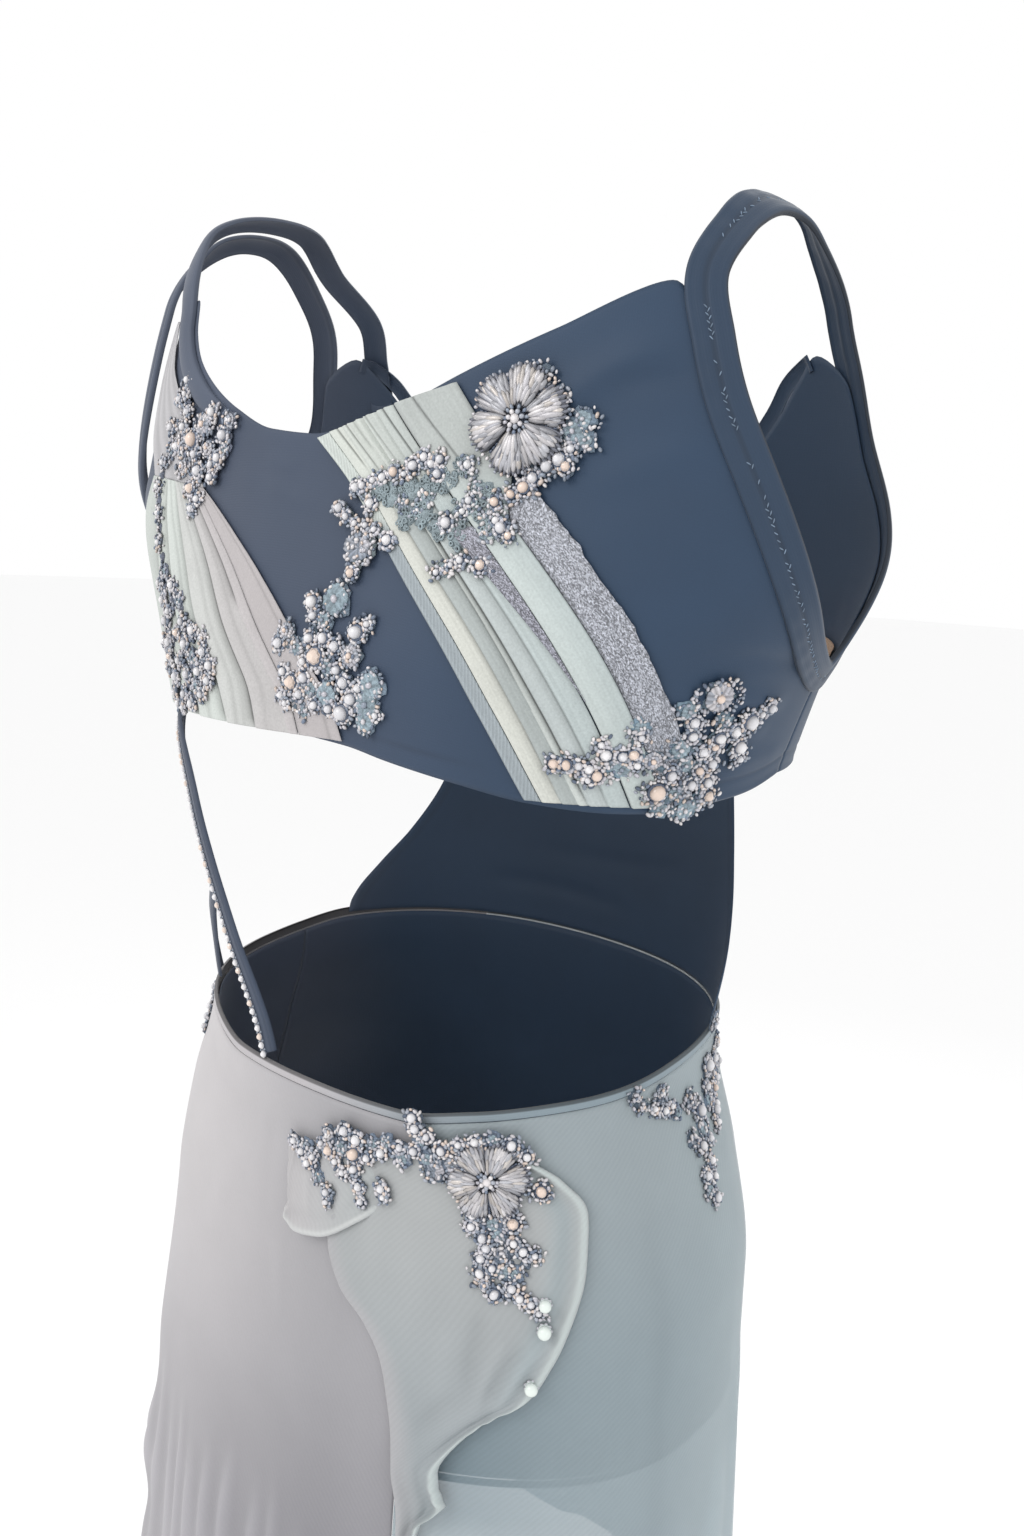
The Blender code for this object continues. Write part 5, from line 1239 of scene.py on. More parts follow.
def spray(name, node, motifs, body, base, seed, tulle="#8c9dab", links=11.0, fill=1.0, extra=None, rides="leotard"):
    """Beaded applique: tulle pads crowded with crystals, pearly beads and loops of corded thread."""
    rng = np.random.default_rng(seed)
    s = Soup()
    A = np.array([(m[0], m[1], m[2]) for m in motifs], float)
    kinds = [m[3] for m in motifs]
    C = body.on(A[:, 0], A[:, 1])
    d = np.linalg.norm(C[:, None] - C[None], axis=2) * 1000
    # tulle pads under the motifs and along the stems between near neighbours
    # the pads under the motifs and stems are painted darker (0.62) as the shade among the beads; blue petal pads and
    # extra tulle keep full tone
    spots = [(A[i, 0], A[i, 1], A[i, 2] + (1.1 if kinds[i] != "b" else 1.9), 0.62 if kinds[i] != "b" else 1.0)
             for i in range(len(A)) if kinds[i] != "w"]
    stems = []
    for i in range(len(A)):
        for j in np.argsort(d[i])[1:4]:
            if d[i, j] < links and (j, i) not in stems and "w" not in (kinds[i], kinds[j]):
                stems.append((i, j))
    for i, j in stems:
        if d[i, j] > 0.8 * (A[i, 2] + A[j, 2]):
            spots.append(((A[i, 0] + A[j, 0]) / 2, (A[i, 1] + A[j, 1]) / 2, 2.1, 0.62))
    for e in extra or []:
        spots.append((e[0], e[1], e[2], 1.0))
    spots = np.array(spots)
    tone = colour(tulle)
    for k in range(4):
        m = np.arange(len(spots)) % 4 == k
        if m.any():
            n = m.sum()
            scatter_on(s, body, MOUNDS[k], spots[m, 0], spots[m, 1], base, np.c_[spots[m, 2] * 1.05, spots[m, 2] * 1.05,
                       0.75 + 0.25 * rng.uniform(size=n)], rng.uniform(0, 6, n),
                       tone * (spots[m, 3] * rng.uniform(0.85, 1.12, n))[:, None], 3, 0.75)
    for e in extra or []:
        n = 13
        ang, rr = rng.uniform(0, 2 * np.pi, n), e[2] * np.sqrt(rng.uniform(0, 1.1, n))
        q = body.on(e[0] + rr * np.cos(ang) / 2.0, e[1] + rr * np.sin(ang) * MM)
        N = body.normal(q)
        size = rng.uniform(0.8, 1.7, (n, 1)) * np.array([[1.0, 0.8, 0.75]])
        scatter(s, LOOP, q + N * ((base + 0.75 + rng.uniform(0, 0.3, n)) * MM)[:, None], N, size, rng.uniform(0, 3, n),
                tone * rng.uniform(0.65, 1.2, (n, 1)), 3, 0.35)
    top = base + 0.8
    surface = lambda az, z, h: (lambda q: (q + body.normal(q) * h * MM, body.normal(q)))(body.on(az, z))
    peach, white, dark = colour("#f0dacb"), colour("#f4f2f4"), colour("#4b566a")
    for i, (a, zz, r, kind) in enumerate(motifs):
        P, N = surface(a, zz, top)
        if kind in "sp":
            tone_i = (peach if kind == "p" else mix(white, colour("#cfd0d8"), rng.uniform(0, 0.6))) * rng.uniform(0.92, 1.0)
            # a dark ring round each stone: painted shade at its foot
            scatter(s, LOOP, P + N * 0.15 * MM, N, (r * 1.10, r * 1.10, r * 0.75), rng.uniform(0, 3), dark * rng.uniform(0.8, 1.3), 0, 0.3)
            if rng.uniform() < 0.5:
                scatter(s, STONE, P + N * 0.35 * MM, N, (r * 0.80, r * 0.80, r * 1.0), rng.uniform(0, 3), tone_i, 1, 0.34, False)
            else:
                scatter(s, BEAD, P + N * (0.30 + 0.25 * r) * MM, N, (r * 0.86, r * rng.uniform(0.70, 0.86), r * 0.78),
                        rng.uniform(0, 3), tone_i, 2, 0.30)
            n = max(4, int(round(2 * np.pi * (r + 0.7) / 1.9)))
            ang = np.arange(n) * 2 * np.pi / n + rng.uniform(0, 3) + rng.uniform(-0.15, 0.15, n)
            rad = (r + rng.uniform(0.35, 1.0, n))
        elif kind == "r":
            n = 6
            ang = np.arange(n) * 2 * np.pi / n + rng.uniform(0, 3)
            scatter(s, LEAF, np.repeat((P - N * 0.2 * MM)[None], n, 0), np.repeat(N[None], n, 0), (r * 1.15, r * 1.15, r * 0.9), ang,
                    np.array([THREADS[rng.integers(0, 3)] for _ in range(n)]), 0, 0.22)
            scatter(s, BEAD, P + N * 1.0 * MM, N, (r * 0.34, r * 0.34, r * 0.34), 0, peach if rng.uniform() < 0.6 else white, 2, 0.35)
            n = 7
            ang = np.arange(n) * 2 * np.pi / n
            rad = np.full(n, r * 0.52)
        elif kind == "b":
            n = 4
            ang = np.arange(n) * 2 * np.pi / n + rng.uniform(0, 3)
            blues = np.array([colour("#9db0bb") * rng.uniform(0.8, 1.12) for _ in range(n)])
            scatter(s, LEAF, np.repeat((P - N * 0.1 * MM)[None], n, 0), np.repeat(N[None], n, 0), (r * 1.15, r * 1.7, r * 0.8), ang, blues, 3, 0.45)
            scatter(s, BEAD, P + N * 0.8 * MM, N, (r * 0.36, r * 0.30, r * 0.30), rng.uniform(0, 3), THREADS[rng.integers(0, 4)], 0, 0.3)
            n = int(round(r * 1.6))
            ang = rng.uniform(0, 2 * np.pi, n)
            rad = r * rng.uniform(0.6, 1.1, n)
        elif kind == "l":
            turn = rng.uniform(0, 6)
            for w, f in ((0, 1.7), (0.9, 1.35), (-0.9, 1.35), (2.2, 1.1), (-2.2, 1.1), (3.14, 1.0)):
                scatter(s, LEAF, P - N * 0.2 * MM, N, (r * f * 0.8, r * 0.95, r * 0.5), turn + w, THREADS[rng.integers(1, 4)], 0, 0.25)
            n = int(round(2 * np.pi * r / 1.9))
            ang = rng.uniform(0, 2 * np.pi, n)
            rad = r * rng.uniform(0.3, 1.0, n)
        else:
            continue
        # plump beads and loops crowded round the motif
        side = np.cross((0, 0, 1.0), N)
        side /= np.linalg.norm(side)
        up = np.cross(N, side)
        q = P + (side[None] * np.cos(ang)[:, None] + up[None] * np.sin(ang)[:, None]) * (rad * MM)[:, None]
        q = body.settle(q)
        Nq = body.normal(q)
        h = (top + (0.65 if kind in "rl" else 0.1)) + rng.uniform(-0.25, 0.35, n)
        tt = np.array([THREADS[k] for k in rng.choice(8, n, p=[.22, .18, .14, .11, .15, .10, .06, .04])])
        size = rng.uniform(0.62, 1.0, (n, 1)) * np.array([[1.30, 0.92, 0.95]])
        scatter(s, SEED, q + Nq * (h * MM)[:, None], Nq, size, ang + np.pi / 2 + rng.uniform(-0.5, 0.5, n), tt, 0, 0.16)
    # beads scattered between, and corded stems that join the motifs
    P, R = [], []
    for i, j in stems:
        n = max(2, int(d[i, j] / 1.5))
        f = (np.arange(n) + 0.5) / n
        bend = rng.uniform(-1, 1) * 0.9
        a = A[i, 0] + (A[j, 0] - A[i, 0]) * f + bend * np.sin(np.pi * f) * 0.6
        b = A[i, 1] + (A[j, 1] - A[i, 1]) * f + bend * np.sin(np.pi * f) * MM
        P += list(zip(a, b))
        R += [0.85] * n
    for i in range(len(A)):
        if kinds[i] == "w":
            continue
        for _ in range(int(fill * (9 + 2.4 * A[i, 2] ** 2))):
            a, rr = rng.uniform(0, 2 * np.pi), (A[i, 2] + rng.uniform(0.1, 2.5))
            P.append((A[i, 0] + rr * np.cos(a) / 2.0, A[i, 1] + rr * np.sin(a) * MM))
            R.append(rng.uniform(0.50, 1.08))
    P, R = np.array(P), np.array(R)
    Q = body.on(P[:, 0], P[:, 1])
    good, grid = [], []
    for k in range(len(P)):
        if grid and (np.linalg.norm(np.array(grid) - Q[k], axis=1) < 1.22 * MM).any():
            continue
        if (np.linalg.norm(C - Q[k], axis=1) * 1000 < A[:, 2] * 0.92).any():
            continue
        grid.append(Q[k])
        good.append(k)
    Q, R = Q[good], R[good]
    N = body.normal(Q)
    n = len(Q)
    tt = np.array([THREADS[k] for k in rng.choice(8, n, p=[.18, .16, .15, .14, .13, .08, .09, .07])]) * rng.uniform(0.8, 1.1, (n, 1))
    size = R[:, None] * np.array([[1.35, 0.85, 0.95]])
    h = top + rng.uniform(-0.65, 0.45, n)
    scatter(s, SEED, Q + N * (h * MM)[:, None], N, size, rng.uniform(0, 3.14, n), tt, 0, 0.14)
    ob = s.make(name, BEAD_MATS)
    keep(ob, node, body=rides)
    return ob


def wide_petal(n=37, m=9, ribs=9):
    """Domed ground of a flower petal, ribbed along its length and lobed at the tip."""
    V, h = [], []
    for j in range(m):
        t = j / (m - 1)
        for i in range(n):
            k = -1 + 2 * i / (n - 1)
            phase = ribs * np.pi * k + 0.9 * np.sin(3.1 * k)
            half = np.radians(30.0) * (0.88 + 0.12 * np.sin(np.pi * t))
            rad = 0.17 + (0.76 - 0.13 * abs(k) ** 3 + 0.035 * np.cos(phase)) * t
            rib = 0.5 + 0.5 * np.cos(phase)
            dome = np.sqrt(max(0, 1 - k ** 4)) * np.sin(np.pi * np.clip(0.10 + 0.80 * t, 0, 1)) ** 0.55
            V.append((rad * np.cos(half * k), rad * np.sin(half * k), 0.095 * dome + 0.030 * rib * (0.35 + 0.65 * t)))
            h.append(np.clip(0.10 + 0.55 * rib + 0.15 * t - 0.15 * abs(k) ** 6, 0, 1))
    V = np.array(V)
    base = V.copy()
    base[:, 2] = -0.02
    k = n * m
    f = []
    for j in range(m - 1):
        for i in range(n - 1):
            a = j * n + i
            f += [(a, a + n, a + n + 1, a + 1), (k + a, k + a + 1, k + a + n + 1, k + a + n)]
    for j in range(m - 1):
        a, b = j * n, j * n + n - 1
        f += [(a, k + a, k + a + n, a + n), (b, b + n, k + b + n, k + b)]
    for i in range(n - 1):
        a, b = i, (m - 1) * n + i
        f += [(a, a + 1, k + a + 1, k + a), (b, k + b, k + b + 1, b + 1)]
    f = np.array(f)
    e = np.cross(V[f[0, 1]] - V[f[0, 0]], V[f[0, 2]] - V[f[0, 0]])
    if e[2] < 0:
        f = f[:, ::-1]
    return np.concatenate([V, base]), [f], np.r_[h, np.full(k, 0.05)]


WIDE = wide_petal()


def rosette(name, node, az0, z0, R, base, body, turn, seed, rides="leotard"):
    rng = np.random.default_rng(seed)
    s = Soup()
    # a dark pad under the petals: painted shade between them
    scatter_on(s, body, MOUNDS[1], az0, z0, base - 0.6, (R * 0.74, R * 0.74, 1.0), 0.4, colour("#5a6478"), 3, 0.6)
    silver = [colour(c) for c in ("#e9e6e9", "#dcdadf", "#e6dfda", "#d3d4db", "#f0edef", "#c3c4cc")]
    for k in range(6):
        a = turn + k * np.pi / 3 + rng.uniform(-0.04, 0.04)
        scatter_on(s, body, WIDE, az0, z0, base + 0.25 * (k % 2), (R, R, R * 1.1), a, colour("#8b8e9b"), 0, 0.15)
    q0 = body.on(az0, z0)
    N0 = body.normal(q0)
    side = np.cross((0, 0, 1.0), N0)
    side /= np.linalg.norm(side)
    up = np.cross(N0, side)

    # every petal is a bundle of thread loops, long ones below and short frilled ones at the tip
    for k in range(6):
        mid = turn + k * np.pi / 3 + rng.uniform(-0.05, 0.05)
        grow = rng.uniform(0.94, 1.04)
        lift_k = 0.9 * (k % 2)
        for count, reach, long, wide, high in ((8, 0.60, 0.31, 0.056, 1.4), (7, 0.44, 0.19, 0.046, 1.9), (9, 0.80, 0.130, 0.056, 1.1)):
            u = (np.arange(count) - (count - 1) / 2) / ((count - 1) / 2)
            a = mid + np.radians(24.0) * u + rng.uniform(-0.03, 0.03, count)
            rr = R * grow * (reach - 0.115 * reach * np.abs(u) ** 2.2 + rng.uniform(-0.022, 0.022, count))
            q = body.settle(q0 + (side[None] * np.cos(a)[:, None] + up[None] * np.sin(a)[:, None]) * (rr * MM)[:, None])
            N = body.normal(q)
            h = base + high + lift_k + 0.8 * (1 - u ** 2) + rng.uniform(-0.15, 0.25, count)
            size = np.c_[R * long * rng.uniform(0.88, 1.1, count), R * wide * rng.uniform(0.8, 1.15, count), rng.uniform(0.75, 1.05, count)]
            # loops painted darker towards the sides of each petal: painted shade
            t = np.array([silver[i] for i in rng.integers(0, 6, count)]) * (rng.uniform(0.68, 0.94, count) * (1 - 0.30 * np.abs(u) ** 3))[:, None]
            scatter(s, SEED, q + N * (h * MM)[:, None], N, size, a + rng.uniform(-0.07, 0.07, count), t, 0, 0.12)

    def around(n, rad, high, size, tones, mat=0, wob=0.0, low=0.3):
        a = np.arange(n) * 2 * np.pi / n + turn + rng.uniform(-wob, wob, n)
        rr = rad * (1 + rng.uniform(-wob, wob, n) * 0.3)
        q = body.settle(q0 + (side[None] * np.cos(a)[:, None] + up[None] * np.sin(a)[:, None]) * (rr * MM)[:, None])
        N = body.normal(q)
        t = np.array([tones[i] for i in rng.integers(0, len(tones), n)])
        scatter(s, BEAD, q + N * high * MM, N, size, a, t, mat, low)

    around(12, R * 0.215, base + 2.3, (1.15, 0.8, 0.9), [THREADS[1], THREADS[3], THREADS[6]], 0, 0.15)
    around(7, R * 0.13, base + 3.0, (1.15, 1.0, 1.0), [THREADS[0], THREADS[4], THREADS[2]], 0, 0.10)
    scatter(s, STONE, q0 + N0 * (base + 3.4) * MM, N0, (1.7, 1.7, 1.7), 0, colour("#e3dedf"), 1, 0.4, False)
    # dark seeds laid in the grooves between the petals as painted shade, and small picots round the rim
    for k in range(6):
        a = turn + (k + 0.5) * np.pi / 3
        rr = np.linspace(0.30, 0.72, 6) * R
        q = body.settle(q0 + (side * np.cos(a) + up * np.sin(a))[None] * (rr * MM)[:, None])
        N = body.normal(q)
        scatter(s, SEED, q + N * (base + 0.9) * MM, N, (1.0, 0.55, 0.6), a, colour("#5a6478"), 0, 0.5)
    n = 44
    a = np.arange(n) * 2 * np.pi / n + turn
    lobe = 0.80 + 0.15 * np.abs(np.cos(3 * (a - turn))) ** 0.6 + rng.uniform(-0.02, 0.02, n)
    q = body.settle(q0 + (side[None] * np.cos(a)[:, None] + up[None] * np.sin(a)[:, None]) * (lobe * R * MM)[:, None])
    N = body.normal(q)
    tt = np.array([THREADS[i] for i in rng.choice(6, n)])
    scatter(s, SEED, q + N * ((base + 0.9 + rng.uniform(-0.3, 0.4, n)) * MM)[:, None], N, (0.95, 0.70, 0.8), a, tt, 0, 0.15)
    ob = s.make(name, BEAD_MATS)
    keep(ob, node, body=rides)
    return ob

# motifs: (azimuth, height, radius mm, kind) with s white stone, p peach stone, r rosette,
# b blue tulle petals, l leaf
BACK_LEFT = [
    (10.5, 0.2446, 2.2, "s"), (12.9, 0.2455, 1.8, "s"), (18.8, 0.2493, 2, "s"), (22.2, 0.2516,
    2.3, "p"), (27.4, 0.2544, 2.4, "s"), (29.9, 0.2579, 2, "s"), (31.8, 0.2555, 1.9, "s"),
    (33.8, 0.2573, 2, "s"), (33.4, 0.2518, 2, "s"), (25.1, 0.2510, 1.5, "s"), (16.1, 0.2479,
    1.6, "s"), (15.9, 0.2387, 2.3, "s"), (5.8, 0.2361, 2.2, "s"), (25.4, 0.2397, 1.7, "b"),
    (28.6, 0.2370, 1.6, "b")]
BACK_LOWER = [
    (22, 0.2252, 2.5, "s"), (8.8, 0.2328, 1.8, "s"), (12, 0.2305, 1.6, "s"), (15.4, 0.2301, 1.5,
    "s"), (18.2, 0.2288, 1.6, "s"), (12.9, 0.2113, 2.2, "p"), (35.9, 0.2336, 2.5, "s"), (42.6,
    0.2193, 2.4, "p"), (44.8, 0.2427, 2.1, "p"), (45.9, 0.2334, 2.6, "s"), (45.1, 0.2359, 1.8,
    "s"), (47, 0.2308, 1.8, "p"), (47.4, 0.2459, 2, "p"), (40.2, 0.2426, 1.7, "s"), (39, 0.2384,
    1.5, "s"), (14.3, 0.2213, 6.2, "l"), (34.4, 0.2151, 1.5, "s"), (35.9, 0.2169, 1.4, "b"),
    (37.3, 0.2183, 1.4, "s"), (39, 0.2204, 1.7, "s"), (39.6, 0.2559, 2, "s"), (41.5, 0.2474,
    1.6, "b"), (30.9, 0.2427, 1.8, "b"), (43.6, 0.2373, 1.6, "b"), (42.9, 0.2303, 1.6, "b")]
BACK_RIGHT = [
    (49.2, 0.2487, 2.6, "p"), (50.4, 0.2523, 2.4, "s"), (52.4, 0.2568, 2.7, "s"), (53.9, 0.2595,
    3, "s"), (54.8, 0.2570, 2.2, "p"), (55.4, 0.2634, 1.8, "s"), (53.2, 0.2681, 2.4, "p"),
    (52.8, 0.2817, 2.9, "b"), (56.8, 0.2739, 2.6, "b"), (55.6, 0.2695, 3.2, "b"), (57.1, 0.2666,
    2.2, "b"), (50.7, 0.2889, 3.6, "l"), (51.2, 0.2847, 3, "l"), (49.5, 0.2619, 2.4, "s"),
    (51.4, 0.2623, 2.2, "s")]
LEFT_STRAP = [
    (-53.7, 0.2867, 1.9, "s"), (-53.9, 0.2807, 1.7, "s"), (-55.8, 0.2783, 1.8, "s"), (-52.6,
    0.2729, 1.8, "s"), (-46.9, 0.2676, 4.2, "r"), (-44.2, 0.2729, 2.5, "s"), (-38.4, 0.2696,
    2.6, "r"), (-39.7, 0.2631, 2.8, "s"), (-40.6, 0.2534, 2.3, "s"), (-49.5, 0.2607, 3.8, "p"),
    (-44.6, 0.2574, 3, "r"), (-54.8, 0.2576, 2.2, "s"), (-57.4, 0.2661, 2, "s"), (-52, 0.2487,
    2.8, "r"), (-46.7, 0.2473, 2.8, "s"), (-48, 0.2393, 2.9, "p"), (-42.1, 0.2448, 2, "s"),
    (-45, 0.2349, 2, "s"), (-46.5, 0.2304, 2, "s"), (-42.5, 0.2504, 1.9, "s"), (-56.6, 0.2557,
    1.9, "b"), (-53.2, 0.2662, 2.2, "s"), (-39.2, 0.2579, 2, "b"), (-48.4, 0.2544, 2.1, "s"),
    (-53, 0.2541, 1.8, "b"), (-51.8, 0.2608, 1.7, "b")]
LEFT_SIDE = [
    (-48.5, 0.1963, 2.2, "s"), (-45.5, 0.1906, 2, "b"), (-49.3, 0.1846, 1.8, "s"), (-42.8,
    0.1816, 2, "s"), (-45.2, 0.1762, 2.2, "p"), (-38.2, 0.1792, 2.3, "s"), (-34.1, 0.1770, 2.4,
    "r"), (-41.2, 0.1725, 2.4, "s"), (-33.5, 0.1712, 2.6, "s"), (-38.3, 0.1673, 2.6, "b"),
    (-44.6, 0.1640, 2, "s"), (-30.8, 0.1660, 2.4, "s"), (-35.5, 0.1621, 2.4, "s"), (-40.7,
    0.1592, 2.4, "s"), (-31.9, 0.1591, 2.2, "s"), (-37.7, 0.1541, 2.2, "b"), (-42.9, 0.1497, 2,
    "s"), (-34.7, 0.1521, 2, "s"), (-39.5, 0.1466, 2, "s"), (-44.4, 0.1428, 1.7, "s")]
CENTRE_BACK = [
    (2.2, 0.1985, 3, "s"), (3.3, 0.1933, 2.2, "s"), (9.2, 0.2008, 5.2, "b"), (16.5, 0.1893, 3.4,
    "s"), (-5.2, 0.1861, 3, "r"), (-7.2, 0.1807, 2.6, "s"), (2.9, 0.1845, 2.5, "s"), (7.3,
    0.1854, 2.6, "s"), (5.2, 0.1779, 4.2, "p"), (1.6, 0.1752, 2, "s"), (15.3, 0.1802, 3.8, "r"),
    (-2.2, 0.1661, 3.4, "p"), (2, 0.1689, 2.5, "s"), (13.8, 0.1696, 2.8, "s"), (16.1, 0.1636,
    2.8, "s"), (17.8, 0.1684, 2.1, "s"), (20.9, 0.1703, 4.3, "b"), (19.9, 0.1623, 4.4, "b"),
    (19.7, 0.1557, 3.4, "b"), (13.7, 0.1575, 3.6, "s"), (8.8, 0.1639, 4, "b"), (-5.6, 0.1600, 2,
    "s"), (-4, 0.1570, 1.6, "s"), (22.5, 0.1588, 1.6, "s"), (19.2, 0.1930, 1.7, "s"), (8.4,
    0.1748, 2.6, "b"), (10.7, 0.1829, 2.6, "s"), (3.8, 0.1649, 2.4, "b"), (11.9, 0.1740, 2.2,
    "s"), (-1.4, 0.1803, 2.2, "b"), (0.4, 0.1618, 2.2, "s"), (6.3, 0.1922, 2.6, "b"), (9.9,
    0.1581, 2.2, "s"), (5.5, 0.1586, 2.2, "s"), (-4.9, 0.1700, 2, "s"), (1.8, 0.1548, 1.7, "b")]
UNDERARM = [
    (54.9, 0.1492, 2.3, "p"), (56.7, 0.1492, 2.4, "p"), (58.4, 0.1490, 1.9, "s"), (59.9, 0.1480,
    2.2, "s"), (61.1, 0.1457, 2.4, "p"), (61.9, 0.1539, 2.6, "s"), (61.1, 0.1578, 1.6, "s"),
    (64.2, 0.1536, 2.2, "s"), (65.6, 0.1545, 2.4, "p"), (66.3, 0.1505, 1.8, "s"), (68.4, 0.1523,
    3.2, "r"), (69.9, 0.1398, 3.8, "p"), (71.5, 0.1465, 2.4, "s"), (72, 0.1568, 3, "b"), (73.1,
    0.1624, 2.3, "s"), (72.9, 0.1677, 2.4, "s"), (71.8, 0.1722, 2.6, "b"), (75.4, 0.1778, 5.2,
    "r"), (77.4, 0.1614, 2.6, "s"), (79.8, 0.1636, 2.6, "s"), (81.9, 0.1674, 3.4, "s"), (81.5,
    0.1572, 3, "s"), (82.5, 0.1517, 1.8, "s"), (85.2, 0.1725, 2.2, "s"), (75.4, 0.1559, 2.4,
    "s"), (77.4, 0.1510, 2.2, "s"), (77.6, 0.1431, 2.3, "s"), (78.6, 0.1371, 2.6, "p"), (77,
    0.1339, 2.2, "b"), (75.1, 0.1316, 3.2, "b"), (71.3, 0.1324, 2, "b"), (65.9, 0.1651, 2, "b"),
    (66.2, 0.1614, 1.6, "s"), (73.3, 0.1505, 2.4, "b"), (74.9, 0.1425, 2.3, "s"), (72.7, 0.1389,
    2.2, "b"), (59.9, 0.1438, 1.6, "s"), (62.9, 0.1498, 1.7, "b"), (77.5, 0.1681, 2, "b"),
    (83.6, 0.1702, 1.7, "s"), (77, 0.1578, 1.8, "p"), (64.3, 0.1487, 2.6, "b"), (75.6, 0.1483,
    2, "p")]
WAIST_BACK = [
    (-1.4, -0.0374, 1.9, "s"), (1.7, -0.0405, 2, "s"), (4.3, -0.0444, 2, "s"), (3.2, -0.0372,
    1.6, "b"), (10.5, -0.0275, 2.4, "r"), (15.6, -0.0234, 2.6, "s"), (19.2, -0.0253, 2.8, "s"),
    (11.1, -0.0348, 2.6, "p"), (18.9, -0.0316, 3.2, "p"), (22.3, -0.0315, 2, "s"), (25.8,
    -0.0271, 2.4, "s"), (26.8, -0.0218, 1.8, "b"), (32.5, -0.0075, 2.4, "s"), (33.2, -0.0123,
    2.4, "s"), (35.8, -0.0145, 1.9, "s"), (38.9, -0.0192, 2.3, "s"), (33.3, -0.0220, 2.1, "s"),
    (30.1, -0.0222, 1.9, "s"), (30.7, -0.0270, 2, "b"), (37.9, -0.0285, 4, "l"), (41.2, -0.0235,
    3.4, "l"), (15.8, -0.0419, 1.8, "s"), (19.2, -0.0381, 2.2, "s"), (20.6, -0.0452, 2.2, "s"),
    (21.4, -0.0512, 1.8, "s"), (11.4, -0.0535, 2, "s"), (11.6, -0.0579, 1.5, "s"), (26.4,
    -0.0423, 2.3, "s"), (27, -0.0457, 1.6, "s"), (7.9, -0.0488, 1.8, "b"), (6.1, -0.0405, 1.8,
    "s"), (14.8, -0.0318, 2.2, "b"), (45.2, -0.0132, 2.2, "s"), (42.1, -0.0154, 1.8, "s"), (52,
    -0.0132, 2.6, "s"), (54.8, -0.0179, 2, "s"), (36.1, -0.0241, 2, "b"), (34.6, -0.0172, 1.7,
    "b"), (48.6, -0.0115, 1.8, "b"), (23.4, -0.0245, 1.7, "b"), (13.6, -0.0382, 1.8, "s"), (8.7,
    -0.0327, 1.7, "s")]
ON_DRAPE = [
    (45.3, -0.0435, 2.2, "s"), (45.2, -0.0479, 2, "s"), (52.4, -0.0448, 2.8, "p"), (57.2,
    -0.0318, 2.8, "p"), (47.2, -0.0520, 2.4, "s"), (47.9, -0.0562, 2.2, "s"), (47, -0.0608, 2.2,
    "s"), (50.7, -0.0583, 2.8, "l"), (47, -0.0668, 2.4, "s"), (47.9, -0.0713, 2.4, "r"), (49.6,
    -0.0744, 2.6, "s"), (50.7, -0.0647, 2.4, "b"), (52.4, -0.0713, 2.2, "s"), (53.7, -0.0748, 2,
    "s"), (55.5, -0.0769, 1.9, "s"), (56.7, -0.0802, 1.6, "s"), (52.6, -0.0527, 2, "s"), (54.2,
    -0.0557, 2.2, "s"), (56.1, -0.0572, 1.6, "s"), (53, -0.0654, 1.6, "b"), (49.9, -0.0505, 2,
    "b"), (48.9, -0.0460, 2.1, "b"), (50.6, -0.0415, 1.9, "s"), (49.1, -0.0639, 1.9, "s")]
HIP_RIGHT = [
    (78.2, 0.0004, 2.2, "l"), (79.8, -0.0053, 2, "l"), (83.3, -0.0093, 1.8, "s"), (86.3,
    -0.0124, 2, "s"), (86, -0.0033, 2.6, "r"), (90.6, -0.0155, 2, "b"), (96.1, -0.0144, 3.4,
    "l"), (106, -0.0052, 3.2, "s"), (108.6, 0.0146, 3.2, "l"), (114.1, 0.0000, 2.8, "r"),
    (103.6, -0.0141, 2.2, "s"), (104.4, -0.0259, 2.6, "s"), (103.6, -0.0311, 2, "s"), (98,
    -0.0210, 3, "s"), (97.4, -0.0284, 2.6, "b"), (92.4, -0.0296, 2.4, "l"), (94.4, -0.0339, 2.4,
    "s"), (95.8, -0.0414, 2.2, "s"), (92.8, -0.0456, 2.4, "s"), (94.2, -0.0565, 2.4, "s"), (93,
    -0.0520, 2, "b"), (88.6, -0.0118, 1.6, "s"), (110.5, -0.0153, 2.2, "s"), (115.1, -0.0110, 2,
    "s"), (103.3, -0.0198, 2, "b"), (98.1, -0.0337, 2, "s"), (95.2, -0.0475, 2, "s")]

# sprays on the parts that the wearer's front shows, in the same style
FRONT_BUST = [(125.5, 0.2470, 2.6, "s"), (130, 0.2400, 3.4, "b"), (134, 0.2330, 2.2, "p"), (137.5, 0.2180, 2.6, "s"),
              (141, 0.2100, 3.0, "r"), (146, 0.2050, 2.4, "p"), (150, 0.2130, 2.6, "s"), (154, 0.2080, 3.2, "b"),
              (152, 0.1990, 2.2, "s"), (157, 0.2010, 2.4, "s"), (160, 0.1930, 2.2, "p"), (163, 0.1880, 1.8, "s"),
              (133, 0.2440, 1.8, "s"), (129, 0.2310, 1.8, "s"), (156, 0.2170, 1.9, "s"), (160, 0.2220, 2.2, "s")]
FRONT_LEFT_BUST = [(204, 0.1550, 2.0, "s"), (208, 0.1580, 2.4, "p"), (212, 0.1620, 2.8, "s"), (217, 0.1650, 3.8, "r"),
                   (222, 0.1720, 2.6, "s"), (226, 0.1780, 3.4, "b"), (224, 0.1640, 2.2, "s"), (230, 0.1840, 2.6, "p"),
                   (233, 0.1920, 2.2, "s"), (236, 0.1990, 1.8, "s"), (219, 0.1570, 2.2, "b"), (231, 0.1740, 1.8, "s")]
